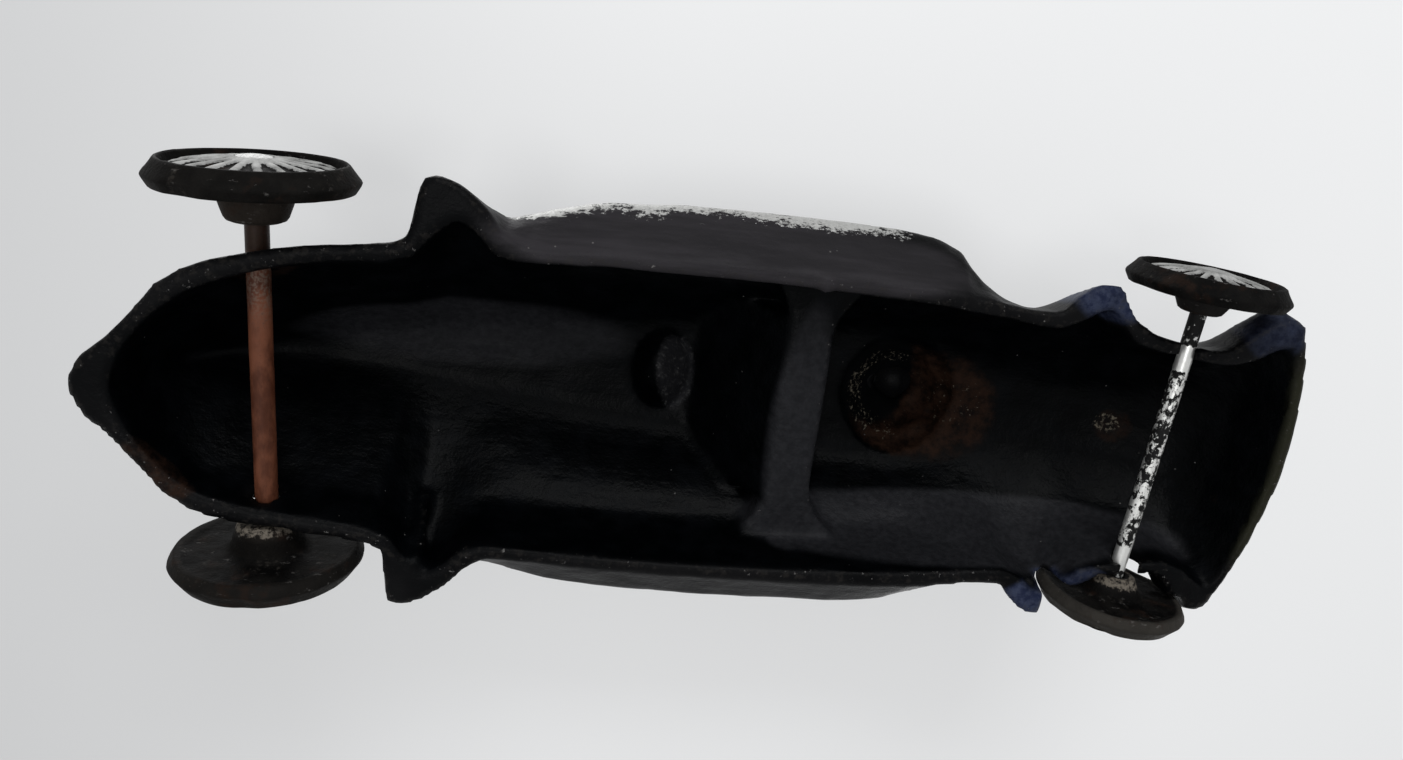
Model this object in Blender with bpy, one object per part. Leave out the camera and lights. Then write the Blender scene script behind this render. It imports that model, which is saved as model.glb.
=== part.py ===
"""Cast iron toy race car: one hollow body casting, two loose axle rods and four one-piece cast wheels.

Sizes are in millimetres and are turned into metres by MM. The nose is at +X, up is +Z and the car stands
on its four wheels on z = 0. X is first measured from the rear axle and then shifted, so that the world
origin lies under the middle of the car. The body is cast iron, open below: an outer solid lofted through
cross-sections, less a lofted cavity, with the cockpit cut from above and the hollow figure joined on.
"""

import math

import bmesh
import bpy
from mathutils import Matrix, Vector

MM = 0.001

# Driving sizes, in millimetres
WHEELBASE = 132.4
TAIL_LENGTH = 24.0
NOSE_LENGTH = 20.4
RIM_HEIGHT = 9.1
WALL = 2.3
NOSE_BOW = 5.0
TAIL_SWAY = 1.3
REAR_SKEW = 0.05
NOSE_SKEW = 0.06
NOSE_WALL = 1.7

REAR_ROD_RADIUS = 1.6
FRONT_ROD_RADIUS = 1.2
BODY_HOLE_CLEARANCE = 0.25
HOLE_HALF_SPAN = 19.0
WHEEL_BORE_CLEARANCE = 0.25
PEEN_RADIUS_EXTRA = 0.9
PEEN_LENGTH = 0.7
SEAT_GAP = 0.3
REAR_SIDE_SLIP = 0.8
FRONT_SIDE_SLIP = 2.0
REAR_AXLE_YAW = -1.4
FRONT_AXLE_YAW = 2.8
WHEEL_WELL_CLEARANCE = 0.5

REAR_WHEEL_RADIUS = 13.55
REAR_TREAD_WIDTH = 3.8
REAR_TRACK = 55.4
REAR_BOSS_LENGTH = 4.4
REAR_BOSS_RADIUS = 5.4
FRONT_WHEEL_RADIUS = 11.5
FRONT_TREAD_WIDTH = 3.3
FRONT_TRACK = 51.2
FRONT_BOSS_LENGTH = 2.7
FRONT_BOSS_RADIUS = 4.3
SPOKE_COUNT = 18
SPOKE_RELIEF = 0.45

COCKPIT_SEAT_TOP = 63.5
COCKPIT_REAR = 76.0
COCKPIT_LENGTH = 4.4
COCKPIT_FRONT_RAKE = 2.0
COCKPIT_HALF_WIDTH = 10.2
COCKPIT_FLOOR = 21.6
DRIVER_X = 97.0
BUST_HALF_LENGTH = 11.0
BUST_HALF_WIDTH = 11.6
SHOULDER_HEIGHT = 41.0
HOLLOW_RADIUS = 10.0
HEAD_HOLLOW_RADIUS = 3.2
HEAD_RADIUS = 5.2
HEAD_CENTRE_HEIGHT = 46.4
HEAD_LEAN = 3.0
STEERING_WHEEL_RADIUS = 4.8
HEADREST_LENGTH = 30.0
HEADREST_TOP = 46.5
HEADREST_HALF_WIDTH = 7.2
HEADREST_X = 52.0
RIB_RADIUS = 1.15
RIB_X = 22.4

STATION_STEP = 4.0
LEAST_STEP = 0.9
ROD_SEGMENTS = 24
SECTION_ROUNDS = 2
SECTION_CUT = 0.2
SMOOTH_ANGLE = 32.0

# Half widths and heights along the car: pairs of (mm ahead of the rear axle, mm)
RIM_HALF_WIDTH = (
    (-24.0, 1.0), (-22.4, 4.2), (-19.0, 7.2), (-15.5, 11.1), (-12.5, 15.1), (-9.0, 17.5), (-4.0, 19.2),
    (6.0, 21.0), (16.5, 22.3), (18.8, 23.2), (19.9, 31.2), (21.6, 32.0), (24.0, 31.3), (28.0, 28.5),
    (31.0, 24.8), (34.0, 23.0), (52.0, 23.5), (66.0, 23.8), (85.0, 23.4), (102.0, 22.6), (108.0, 21.9),
    (111.6, 22.0), (113.6, 24.6), (116.2, 26.7), (119.0, 26.8), (120.6, 25.4), (122.6, 22.2), (126.0, 20.2),
    (132.0, 19.2), (138.0, 18.5), (141.0, 18.8), (144.6, 21.6), (148.0, 23.2), (151.0, 24.0), (153.0, 23.6),
)
BELT_HALF_WIDTH = (
    (-24.0, 1.0), (-22.4, 3.8), (-19.0, 6.5), (-15.5, 10.0), (-12.5, 13.8), (-9.0, 16.0), (-4.0, 17.6),
    (6.0, 19.2), (16.5, 20.4), (18.8, 21.4), (19.9, 29.6), (21.6, 30.6), (24.0, 29.8), (28.0, 27.6),
    (31.0, 26.9), (34.0, 28.3), (42.0, 31.2), (52.0, 32.4), (66.0, 32.7), (84.0, 32.5), (94.0, 31.5),
    (97.5, 29.6), (101.0, 25.0), (105.0, 22.0), (108.0, 20.8), (111.6, 20.8), (113.6, 21.8), (116.2, 23.6),
    (119.0, 23.8), (120.6, 22.6), (122.6, 20.2), (126.0, 19.0), (132.0, 17.8), (138.0, 17.6), (141.0, 18.6),
    (144.6, 22.4), (148.0, 25.0), (151.0, 25.4), (153.0, 23.4),
)
BELT_HEIGHT = (
    (-24.0, 11.5), (-12.5, 15.0), (6.0, 17.0), (34.0, 17.2), (97.5, 17.4), (126.0, 16.5), (141.5, 15.0),
    (149.0, 13.4), (153.0, 10.8),
)
SHOULDER_HALF_WIDTH = (
    (-24.0, 0.8), (-19.0, 4.4), (-12.5, 9.2), (-4.0, 12.4), (6.0, 14.0), (16.5, 15.2), (18.8, 15.6),
    (19.9, 19.0), (21.6, 20.4), (26.0, 19.8), (34.0, 18.0), (52.0, 18.4), (94.0, 18.8), (108.0, 18.0),
    (116.2, 18.6), (119.0, 18.4), (126.0, 16.8), (132.0, 16.2), (141.5, 16.8), (149.0, 19.4), (153.0, 20.4),
)
SHOULDER_HEIGHT_LINE = (
    (-24.0, 13.0), (-19.0, 17.6), (-12.5, 21.0), (6.0, 24.0), (19.9, 25.0), (34.0, 26.0), (94.0, 26.4),
    (116.0, 25.4), (132.0, 24.0), (145.5, 19.0), (153.0, 12.0),
)
DECK_HALF_WIDTH = (
    (-24.0, 0.5), (-12.5, 2.2), (3.0, 4.8), (25.0, 7.8), (52.0, 11.4), (73.5, 13.0), (97.0, 13.0),
    (108.0, 10.4), (120.0, 8.0), (132.0, 7.6), (145.5, 10.0), (153.0, 17.0),
)
DECK_HEIGHT = (
    (-24.0, 13.8), (-19.0, 24.4), (-12.5, 31.6), (-4.0, 36.0), (6.0, 37.6), (25.0, 38.2), (52.0, 38.5),
    (73.5, 38.0), (90.0, 36.6), (105.5, 35.6), (120.0, 34.2), (132.0, 32.2), (141.0, 28.4), (148.0, 22.0),
    (153.0, 12.8),
)
DECK_CROWN = 0.8
INNER_HALF_WIDTH = (
    (-18.8, 1.6), (-17.4, 5.2), (-14.6, 9.2), (-12.0, 11.9), (-9.0, 14.2), (-2.3, 16.7), (6.0, 18.5),
    (16.5, 19.9), (19.5, 20.8), (22.0, 24.0), (24.8, 26.4), (27.0, 25.2), (30.0, 22.0), (33.0, 21.3),
    (50.0, 21.9), (66.0, 22.0), (88.0, 21.5), (104.0, 20.2), (112.0, 19.5), (115.2, 21.0), (117.4, 22.8),
    (119.4, 23.2), (121.3, 21.4), (123.6, 18.6), (127.0, 17.7), (134.0, 16.9), (140.0, 16.3), (144.5, 17.4),
    (148.0, 19.4), (151.3, 21.0),
)

# Values that follow from the driving sizes
X_MIDDLE = (WHEELBASE + NOSE_LENGTH - TAIL_LENGTH) / 2
MODEL_WHEELBASE = 132.0
MODEL_TAIL = -24.0
MODEL_NOSE = 153.0
BOW_START = 125.0
SWAY_START = 10.0
SWAY_END = -12.0
REAR_SKEW_IN = (8.0, 18.0)
REAR_SKEW_OUT = (66.0, 36.0)
NOSE_SKEW_IN = (126.0, 146.0)
BAR_FLARE_REAR = 8.0
BAR_FLARE_FRONT = 12.0
CAVITY_DEPTH_BELOW = 5.0
INNER_SHARE = 0.38
OUTER_SHARE = 1 - INNER_SHARE
HUB_RISE = 0.3
BOSS_FLARE = 0.5
WELL_REACH = 30.0


def interpolate(table, x):
    """A smooth value of the table at x that never overshoots its points (monotone cubic)."""
    if x <= table[0][0]:
        return table[0][1]
    if x >= table[-1][0]:
        return table[-1][1]
    i = max(k for k in range(len(table) - 1) if table[k][0] <= x)
    slopes = [(b[1] - a[1]) / (b[0] - a[0]) for a, b in zip(table, table[1:])]

    def tangent(k):
        if k == 0 or k == len(table) - 1:
            return slopes[min(k, len(slopes) - 1)]
        before, after = slopes[k - 1], slopes[k]
        if before * after <= 0:
            return 0.0
        return 2 * before * after / (before + after)

    (x0, y0), (x1, y1) = table[i], table[i + 1]
    span = x1 - x0
    t = (x - x0) / span
    return (
        y0 * (1 + 2 * t) * (1 - t) ** 2
        + tangent(i) * span * t * (1 - t) ** 2
        + y1 * t * t * (3 - 2 * t)
        + tangent(i + 1) * span * t * t * (t - 1)
    )


def world_x(x):
    """A place along the model, which was drawn for MODEL_WHEELBASE, in world millimetres."""
    if x <= 0:
        return x * TAIL_LENGTH / -MODEL_TAIL - X_MIDDLE
    if x <= MODEL_WHEELBASE:
        return x * WHEELBASE / MODEL_WHEELBASE - X_MIDDLE
    return WHEELBASE + (x - MODEL_WHEELBASE) * NOSE_LENGTH / (MODEL_NOSE - MODEL_WHEELBASE) - X_MIDDLE


def ramp(x, start, end):
    """0 at start, 1 at end, straight between."""
    return min(max((x - start) / (end - start), 0.0), 1.0)


def bow(x, y, half_width):
    """How far a point lies behind its cross-section, where the sections bend to the round nose."""
    t = ramp(x, BOW_START, MODEL_NOSE)
    return NOSE_BOW * t * t * (3 - 2 * t) * (y / half_width) ** 2


def placed(x, y, half_width):
    """Where a section's point goes: the nose bent back and the tail leaning a little, as it was cast."""
    back = ramp(x, SWAY_START, SWAY_END)
    skew = REAR_SKEW * ramp(x, *REAR_SKEW_IN) * ramp(x, *REAR_SKEW_OUT)
    skew += NOSE_SKEW * ramp(x, *NOSE_SKEW_IN)
    sway = TAIL_SWAY * back * back * (3 - 2 * back)
    return world_x(x - bow(x, y, half_width) - skew * y), y + sway


def rounded(points):
    """The polyline with its corners cut, its two ends kept."""
    for _ in range(SECTION_ROUNDS):
        cut = [points[0]]
        for a, b in zip(points, points[1:]):
            for share in (SECTION_CUT, 1 - SECTION_CUT):
                cut.append(tuple(p + share * (q - p) for p, q in zip(a, b)))
        cut[1:2] = []
        cut[-1] = points[-1]
        points = cut
    return points


def stations(first, last, tables):
    """Places for cross-sections: each table's own points, and no gap wider than STATION_STEP."""
    marks = sorted({x for table in tables for x, _ in table if first < x < last} | {first, last})
    kept = [marks[0]]
    for x in marks[1:]:
        if x - kept[-1] < LEAST_STEP and x != last:
            continue
        pieces = max(1, math.ceil((x - kept[-1]) / STATION_STEP))
        start = kept[-1]
        kept.extend(start + (x - start) * k / pieces for k in range(1, pieces + 1))
    return kept


def outer_section(x):
    crown = min(DECK_CROWN, interpolate(DECK_HEIGHT, x) - interpolate(SHOULDER_HEIGHT_LINE, x) - 0.1)
    deck = interpolate(DECK_HEIGHT, x)
    half = [
        (interpolate(RIM_HALF_WIDTH, x), RIM_HEIGHT),
        (interpolate(BELT_HALF_WIDTH, x), interpolate(BELT_HEIGHT, x)),
        (interpolate(SHOULDER_HALF_WIDTH, x), interpolate(SHOULDER_HEIGHT_LINE, x)),
        (interpolate(DECK_HALF_WIDTH, x), deck - crown),
        (0.0, deck),
    ]
    return rounded(half)


def outer_width_at(section, z):
    """The outer half width at height z, on the part of the half section that faces up and out."""
    for (y0, z0), (y1, z1) in zip(section, section[1:]):
        if z0 <= z <= z1 and z1 > z0:
            return y0 + (y1 - y0) * (z - z0) / (z1 - z0)
    return section[0][0] if z < section[0][1] else 0.0


def cavity_section(x):
    """The cavity's half section: a drafted wall, a ledge at the shoulder and the deck less the wall."""
    end = min((x - INNER_HALF_WIDTH[0][0]) / 6.0, (MODEL_NOSE - NOSE_WALL - x) / 6.0, 1.0)
    close = math.sqrt(max(end, 0.0) * (2 - max(end, 0.0)))
    rim = interpolate(INNER_HALF_WIDTH, x)
    floor = RIM_HEIGHT + 0.8
    top = floor + (interpolate(DECK_HEIGHT, x) - WALL - floor) * close
    bend = floor + (interpolate(SHOULDER_HEIGHT_LINE, x) - 0.5 * WALL - floor) * close
    side = max(min(rim - 1.2, interpolate(SHOULDER_HALF_WIDTH, x) - 0.75 * WALL), 0.5)
    deck = max(min(side - 0.2, interpolate(DECK_HALF_WIDTH, x) - 0.8 * WALL), 0.3)
    half = [
        (rim, RIM_HEIGHT),
        (max(rim - 0.8, 0.6), max(bend - 3.0, (RIM_HEIGHT + bend) / 2)),
        (side, bend),
        (deck, max(top - 0.4, bend + 0.05)),
        (0.0, max(top, bend + 0.1)),
    ]
    outer = outer_section(x)
    fitted = []
    for y, z in rounded(half):
        most = outer_width_at(outer, z + 0.5 * WALL) - 0.8 * WALL
        fitted.append((min(y, max(most, 0.25)) if y > 0 and z > RIM_HEIGHT else y, z))
    return [(rim, RIM_HEIGHT - CAVITY_DEPTH_BELOW)] + fitted


def mesh_object(name, vertices, faces):
    mesh = bpy.data.meshes.new(name)
    mesh.from_pydata([Vector(v) * MM for v in vertices], [], faces)
    bm = bmesh.new()
    bm.from_mesh(mesh)
    bmesh.ops.recalc_face_normals(bm, faces=bm.faces)
    bm.to_mesh(mesh)
    bm.free()
    obj = bpy.data.objects.new(name, mesh)
    bpy.context.scene.collection.objects.link(obj)
    return obj


def end_cap(upper, lower, across):
    """Triangles between two chains of vertices that share both ends and run the same way across."""
    faces = []
    i = j = 0
    while i < len(upper) - 1 or j < len(lower) - 1:
        more_above = i < len(upper) - 1
        more_below = j < len(lower) - 1
        if more_above and (not more_below or across[upper[i + 1]] <= across[lower[j + 1]]):
            corners = (upper[i], upper[i + 1], lower[j])
            i += 1
        else:
            corners = (upper[i], lower[j + 1], lower[j])
            j += 1
        if len(set(corners)) == 3:
            faces.append(corners)
    return faces


def loft(name, places, section):
    """A closed solid through mirrored cross-sections at the places, flat underneath."""
    vertices = []
    faces = []
    across = []
    for x in places:
        half = section(x)
        upper = [(-y, z) for y, z in half[:-1]] + [(0.0, half[-1][1])] + [(y, z) for y, z in half[-2::-1]]
        lower = [(half[0][0] * share, half[0][1]) for share in (0.75, 0.5, 0.25, 0.0, -0.25, -0.5, -0.75)]
        ring = upper + lower
        width = max(interpolate(RIM_HALF_WIDTH, x), 1.0)
        across += [y for y, z in ring]
        vertices += [(*placed(x, y, width), z) for y, z in ring]
    count = len(ring)
    for row in range(len(places) - 1):
        a, b = row * count, (row + 1) * count
        for k in range(count):
            n = (k + 1) % count
            faces.append((a + k, b + k, b + n, a + n))
    for first in (0, (len(places) - 1) * count):
        top_chain = [first + k for k in range(len(upper))]
        low_chain = [first] + [first + k for k in range(count - 1, len(upper) - 2, -1)]
        faces += end_cap(top_chain, low_chain, across)
    return mesh_object(name, vertices, faces)


def ellipsoid(name, centre, radii, tilt=0.0, segments=20, rings=12):
    bm = bmesh.new()
    bmesh.ops.create_uvsphere(bm, u_segments=segments, v_segments=rings, radius=1.0)
    place = (
        Matrix.Translation(Vector(centre) * MM)
        @ Matrix.Rotation(tilt, 4, "Y")
        @ Matrix.Diagonal((radii[0] * MM, radii[1] * MM, radii[2] * MM, 1.0))
    )
    bmesh.ops.transform(bm, matrix=place, verts=bm.verts)
    return object_from(bm, name)


def capsule(name, start, end, radius_start, radius_end, segments=12):
    """A round-ended limb between two points."""
    a, b = Vector(start), Vector(end)
    length = (b - a).length
    profile = []
    for k in range(5):
        angle = math.pi / 2 * k / 4
        profile.append((-radius_start * math.cos(angle), radius_start * math.sin(angle)))
    for k in range(5):
        angle = math.pi / 2 * k / 4
        profile.append((length + radius_end * math.sin(angle), radius_end * math.cos(angle)))
    bm = revolve(profile, segments)
    turn = Vector((0, 1, 0)).rotation_difference(b - a).to_matrix().to_4x4()
    bmesh.ops.transform(bm, matrix=Matrix.Translation(a * MM) @ turn, verts=bm.verts)
    return object_from(bm, name)


def object_from(bm, name):
    bmesh.ops.recalc_face_normals(bm, faces=bm.faces)
    mesh = bpy.data.meshes.new(name)
    bm.to_mesh(mesh)
    bm.free()
    obj = bpy.data.objects.new(name, mesh)
    bpy.context.scene.collection.objects.link(obj)
    return obj


def revolve(profile, segments, lift=None):
    """A bmesh solid of revolution about Y. The profile is (distance along Y, radius) in millimetres, and it
    starts and ends on the axis or is a closed loop round a bore. lift may raise a point along Y."""
    bm = bmesh.new()
    on_axis = abs(profile[0][1]) < 1e-9
    rings = []
    for index, (along, radius) in enumerate(profile):
        if abs(radius) < 1e-9:
            rings.append([bm.verts.new((0, along * MM, 0))])
            continue
        ring = []
        for k in range(segments):
            angle = 2 * math.pi * k / segments
            raised = along + (lift(index, k) if lift else 0.0)
            ring.append(
                bm.verts.new((radius * math.sin(angle) * MM, raised * MM, radius * math.cos(angle) * MM))
            )
        rings.append(ring)
    pairs = list(zip(rings, rings[1:]))
    if not on_axis:
        pairs.append((rings[-1], rings[0]))
    for first, second in pairs:
        for k in range(segments):
            corners = []
            for ring, step in ((first, k), (first, k + 1), (second, k + 1), (second, k)):
                vert = ring[step % len(ring)]
                if vert not in corners:
                    corners.append(vert)
            if len(corners) > 2:
                bm.faces.new(corners)
    bmesh.ops.recalc_face_normals(bm, faces=bm.faces)
    return bm


def cylinder_y(name, radius, length, centre, segments=ROD_SEGMENTS):
    half = length / 2
    bm = revolve([(-half, 0), (-half, radius), (half, radius), (half, 0)], segments)
    bmesh.ops.translate(bm, vec=Vector(centre) * MM, verts=bm.verts)
    return object_from(bm, name)


def extruded(name, outline, bottom, top):
    """A prism with the plan outline, in millimetres, from bottom to top."""
    bm = bmesh.new()
    face = bm.faces.new([bm.verts.new((x * MM, y * MM, bottom * MM)) for x, y in outline])
    made = bmesh.ops.extrude_face_region(bm, geom=[face])
    moved = [v for v in made["geom"] if isinstance(v, bmesh.types.BMVert)]
    bmesh.ops.translate(bm, vec=(0, 0, (top - bottom) * MM), verts=moved)
    return object_from(bm, name)


def combine(target, other, operation):
    """Applies a Boolean and removes the other object."""
    modifier = target.modifiers.new(operation, "BOOLEAN")
    modifier.operation = operation
    modifier.solver = "EXACT"
    modifier.object = other
    graph = bpy.context.evaluated_depsgraph_get()
    mesh = bpy.data.meshes.new_from_object(target.evaluated_get(graph))
    target.modifiers.clear()
    old = target.data
    target.data = mesh
    bpy.data.meshes.remove(old)
    old = other.data
    bpy.data.objects.remove(other)
    bpy.data.meshes.remove(old)


def material(name, colour, metallic, roughness):
    made = bpy.data.materials.new(name)
    made.use_nodes = True
    shader = made.node_tree.nodes["Principled BSDF"]
    shader.inputs["Base Color"].default_value = (*colour, 1.0)
    shader.inputs["Metallic"].default_value = metallic
    shader.inputs["Roughness"].default_value = roughness
    made.diffuse_color = (*colour, 1.0)
    return made


def oval(centre_x, half_length, half_width, power, count=28):
    """A rounded-rectangle outline in plan."""
    points = []
    for k in range(count):
        angle = 2 * math.pi * (k + 0.5) / count
        c, s = math.cos(angle), math.sin(angle)
        x = math.copysign(abs(c) ** (2 / power), c) * half_length
        y = math.copysign(abs(s) ** (2 / power), s) * half_width
        points.append((centre_x + x, y))
    return points


def slab(name, profile, half_width):
    """A prism with the side outline (x, z), in millimetres, reaching half_width to each side."""
    bm = bmesh.new()
    face = bm.faces.new([bm.verts.new((x * MM, -half_width * MM, z * MM)) for x, z in profile])
    made = bmesh.ops.extrude_face_region(bm, geom=[face])
    moved = [v for v in made["geom"] if isinstance(v, bmesh.types.BMVert)]
    bmesh.ops.translate(bm, vec=(0, 2 * half_width * MM, 0), verts=moved)
    return object_from(bm, name)


def cockpit_profile(grown, top):
    """The cockpit's side outline: a raked seat back, a flat floor and a steep front, grown by a wall."""
    seat = world_x(COCKPIT_SEAT_TOP)
    rear = world_x(COCKPIT_REAR)
    front = rear + COCKPIT_LENGTH
    deck = interpolate(DECK_HEIGHT, COCKPIT_REAR)
    rake = (rear - seat) / (deck - COCKPIT_FLOOR)
    rise = top - COCKPIT_FLOOR
    return [
        (rear - 0.5 * grown, COCKPIT_FLOOR - grown),
        (front + 0.5 * grown, COCKPIT_FLOOR - grown),
        (front + grown + COCKPIT_FRONT_RAKE * rise / (deck - COCKPIT_FLOOR), top),
        (rear - grown - rake * rise, top),
    ]


def bar_flares():
    """Plan outline of the cross bar under the cockpit, which widens smoothly towards the side walls."""
    rear = world_x(COCKPIT_REAR) - 0.5 * WALL
    front = world_x(COCKPIT_REAR) + COCKPIT_LENGTH + 0.5 * WALL
    reach = interpolate(INNER_HALF_WIDTH, COCKPIT_REAR) + WALL
    count = 5
    steps = [k / count for k in range(count + 1)]
    start = COCKPIT_HALF_WIDTH - 1.0
    across = [start + (reach - start) * t for t in steps]
    side = [(rear - BAR_FLARE_REAR * t**3, y) for t, y in zip(steps, across)]
    side += [(front + BAR_FLARE_FRONT * t**3, y) for t, y in reversed(list(zip(steps, across)))]
    return side + [(x, -y) for x, y in reversed(side)]


def build_cavity():
    places = stations(
        INNER_HALF_WIDTH[0][0], MODEL_NOSE - NOSE_WALL, (INNER_HALF_WIDTH, DECK_HEIGHT, SHOULDER_HEIGHT_LINE)
    )
    cavity = loft("cavity", places, cavity_section)
    hollow_length = 0.16 * HEADREST_LENGTH
    rest = ellipsoid(
        "headrest_hollow",
        (world_x(COCKPIT_SEAT_TOP - 1.3 * hollow_length), 0, interpolate(DECK_HEIGHT, HEADREST_X) - 2 * WALL),
        (hollow_length, HEADREST_HALF_WIDTH, HEADREST_TOP - interpolate(DECK_HEIGHT, HEADREST_X)),
        segments=16,
        rings=10,
    )
    combine(cavity, rest, "UNION")
    top = HEADREST_TOP + 5
    dip = slab("cockpit_mould", cockpit_profile(WALL, top), COCKPIT_HALF_WIDTH + 5.0)
    combine(dip, extruded("bar_mould", bar_flares(), COCKPIT_FLOOR - WALL + 0.2, top + 1.0), "UNION")
    combine(cavity, dip, "DIFFERENCE")
    combine(cavity, bust_hollow(), "UNION")
    return cavity


def bust_hollow():
    """The round hollow under the figure: wide at the deck's underside and narrow in the head."""
    under = interpolate(DECK_HEIGHT, DRIVER_X) - WALL
    throat = 0.66 * HOLLOW_RADIUS
    profile = [
        (under - 5.0, 0), (under - 5.0, HOLLOW_RADIUS), (under, HOLLOW_RADIUS),
        (under + 1.4, HOLLOW_RADIUS - 0.9), (under + 2.6, throat + 0.9), (SHOULDER_HEIGHT - 3.0, throat),
        (SHOULDER_HEIGHT - 1.6, 0.7 * throat), (SHOULDER_HEIGHT - 0.4, HEAD_HOLLOW_RADIUS),
        (HEAD_CENTRE_HEIGHT - 0.6, HEAD_HOLLOW_RADIUS - 0.6), (HEAD_CENTRE_HEIGHT + 0.8, 0),
    ]
    bm = revolve(profile, 24)
    bmesh.ops.rotate(bm, cent=(0, 0, 0), matrix=Matrix.Rotation(math.pi / 2, 3, "X"), verts=bm.verts)
    lean = HEAD_LEAN / (HEAD_CENTRE_HEIGHT - under)
    for vert in bm.verts:
        vert.co.x += max(vert.co.z - under * MM, 0.0) * lean
    bmesh.ops.translate(bm, vec=(world_x(DRIVER_X) * MM, 0, 0), verts=bm.verts)
    return object_from(bm, "bust_hollow")


def join_driver(body):
    """The figure, cast in one with the body: bust, arms, head in a close cap, and the steering wheel."""
    x = world_x(DRIVER_X)
    deck = interpolate(DECK_HEIGHT, DRIVER_X)
    chest_radii = (BUST_HALF_LENGTH, BUST_HALF_WIDTH, SHOULDER_HEIGHT - deck + 2.6)
    combine(body, ellipsoid("chest", (x, 0, deck - 2.0), chest_radii, segments=28), "UNION")
    shoulder = (x + 0.2 * HEAD_LEAN, BUST_HALF_WIDTH - 4.2, SHOULDER_HEIGHT - 3.2)
    other_shoulder = (shoulder[0], -shoulder[1], shoulder[2])
    combine(body, capsule("shoulders", other_shoulder, shoulder, 3.5, 3.5, 16), "UNION")
    wheel_x = x + BUST_HALF_LENGTH + 3.2
    wheel_z = interpolate(DECK_HEIGHT, DRIVER_X + BUST_HALF_LENGTH + 3.2) + 2.6
    rim_z = wheel_z - 0.6
    for side in (-1, 1):
        top_of_arm = (shoulder[0] + 0.6, side * (shoulder[1] + 1.2), shoulder[2])
        elbow = (x + 7.4, side * (BUST_HALF_WIDTH - 1.2), SHOULDER_HEIGHT - 5.4)
        combine(body, capsule("upper_arm", top_of_arm, elbow, 2.7, 2.1), "UNION")
        hand = (wheel_x - 0.4, side * (STEERING_WHEEL_RADIUS - 0.6), wheel_z)
        combine(body, capsule("forearm", elbow, hand, 2.1, 1.5), "UNION")
    head_x = x + HEAD_LEAN
    collar = (x + 0.4 * HEAD_LEAN, 0, SHOULDER_HEIGHT - 3)
    combine(body, capsule("neck", collar, (head_x, 0, HEAD_CENTRE_HEIGHT - 2), 4.2, 3.6, 16), "UNION")
    head_half_height = HEAD_RADIUS * 1.18
    head_radii = (HEAD_RADIUS, HEAD_RADIUS * 0.86, head_half_height)
    combine(body, ellipsoid("head", (head_x, 0, HEAD_CENTRE_HEIGHT), head_radii, 0.0, 24, 16), "UNION")
    cap_radii = (HEAD_RADIUS * 1.04, HEAD_RADIUS * 0.97, head_half_height * 0.95)
    cap_centre = (head_x - 0.7, 0, HEAD_CENTRE_HEIGHT + 1.2)
    combine(body, ellipsoid("cap", cap_centre, cap_radii, -0.5, 24, 16), "UNION")
    nose_tip = (head_x + HEAD_RADIUS * 0.96, 0, HEAD_CENTRE_HEIGHT - 1.1)
    combine(body, ellipsoid("nose", nose_tip, (0.9, 0.7, 1.25), 0.2, 10, 6), "UNION")
    combine(body, steering_wheel(wheel_x, rim_z), "UNION")
    column = capsule("column", (wheel_x, 0, rim_z - 0.6), (wheel_x + 6.5, 0, rim_z - 4.6), 1.5, 1.8)
    combine(body, column, "UNION")
    dash = ellipsoid("dash", (wheel_x + 5.6, 0, rim_z - 4.6), (6.0, 8.2, 4.8), segments=24)
    combine(body, dash, "UNION")


def steering_wheel(x, z):
    ring_count = 24
    tube_count = 8
    tube = 0.9
    bm = bmesh.new()
    grid = []
    for k in range(ring_count):
        angle = 2 * math.pi * k / ring_count
        row = []
        for j in range(tube_count):
            around = 2 * math.pi * j / tube_count
            radius = STEERING_WHEEL_RADIUS + tube * math.cos(around)
            place = Vector((tube * math.sin(around), radius * math.sin(angle), radius * math.cos(angle)))
            row.append(bm.verts.new(place * MM))
        grid.append(row)
    for k in range(ring_count):
        a, b = grid[k], grid[(k + 1) % ring_count]
        for j in range(tube_count):
            bm.faces.new((a[j], a[(j + 1) % tube_count], b[(j + 1) % tube_count], b[j]))
    place = Matrix.Translation(Vector((x, 0, z)) * MM) @ Matrix.Rotation(-0.6, 4, "Y")
    bmesh.ops.transform(bm, matrix=place, verts=bm.verts)
    return object_from(bm, "steering_wheel")


def axle_direction(yaw):
    """The rod's direction: it may sit askew in its loose holes."""
    return Vector((-math.sin(math.radians(yaw)), math.cos(math.radians(yaw)), 0.0))


def wheel_centre(x, side, radius, track, slip, yaw):
    along = side * track / 2 - slip
    return Vector((x, 0, radius)) + along * axle_direction(yaw)


def wheel_well(radius, tread, boss_length, boss_radius):
    """What a wheel needs to turn, about its own axis: room for its tread and less room for its boss."""
    face = -INNER_SHARE * tread - WHEEL_WELL_CLEARANCE
    boss_end = -INNER_SHARE * tread - boss_length - SEAT_GAP
    wide = radius + WHEEL_WELL_CLEARANCE
    narrow = boss_radius + BOSS_FLARE + SEAT_GAP
    profile = [
        (boss_end, 0), (boss_end, narrow), (face, narrow), (face, wide), (WELL_REACH, wide), (WELL_REACH, 0),
    ]
    return revolve(profile, 48)


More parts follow.
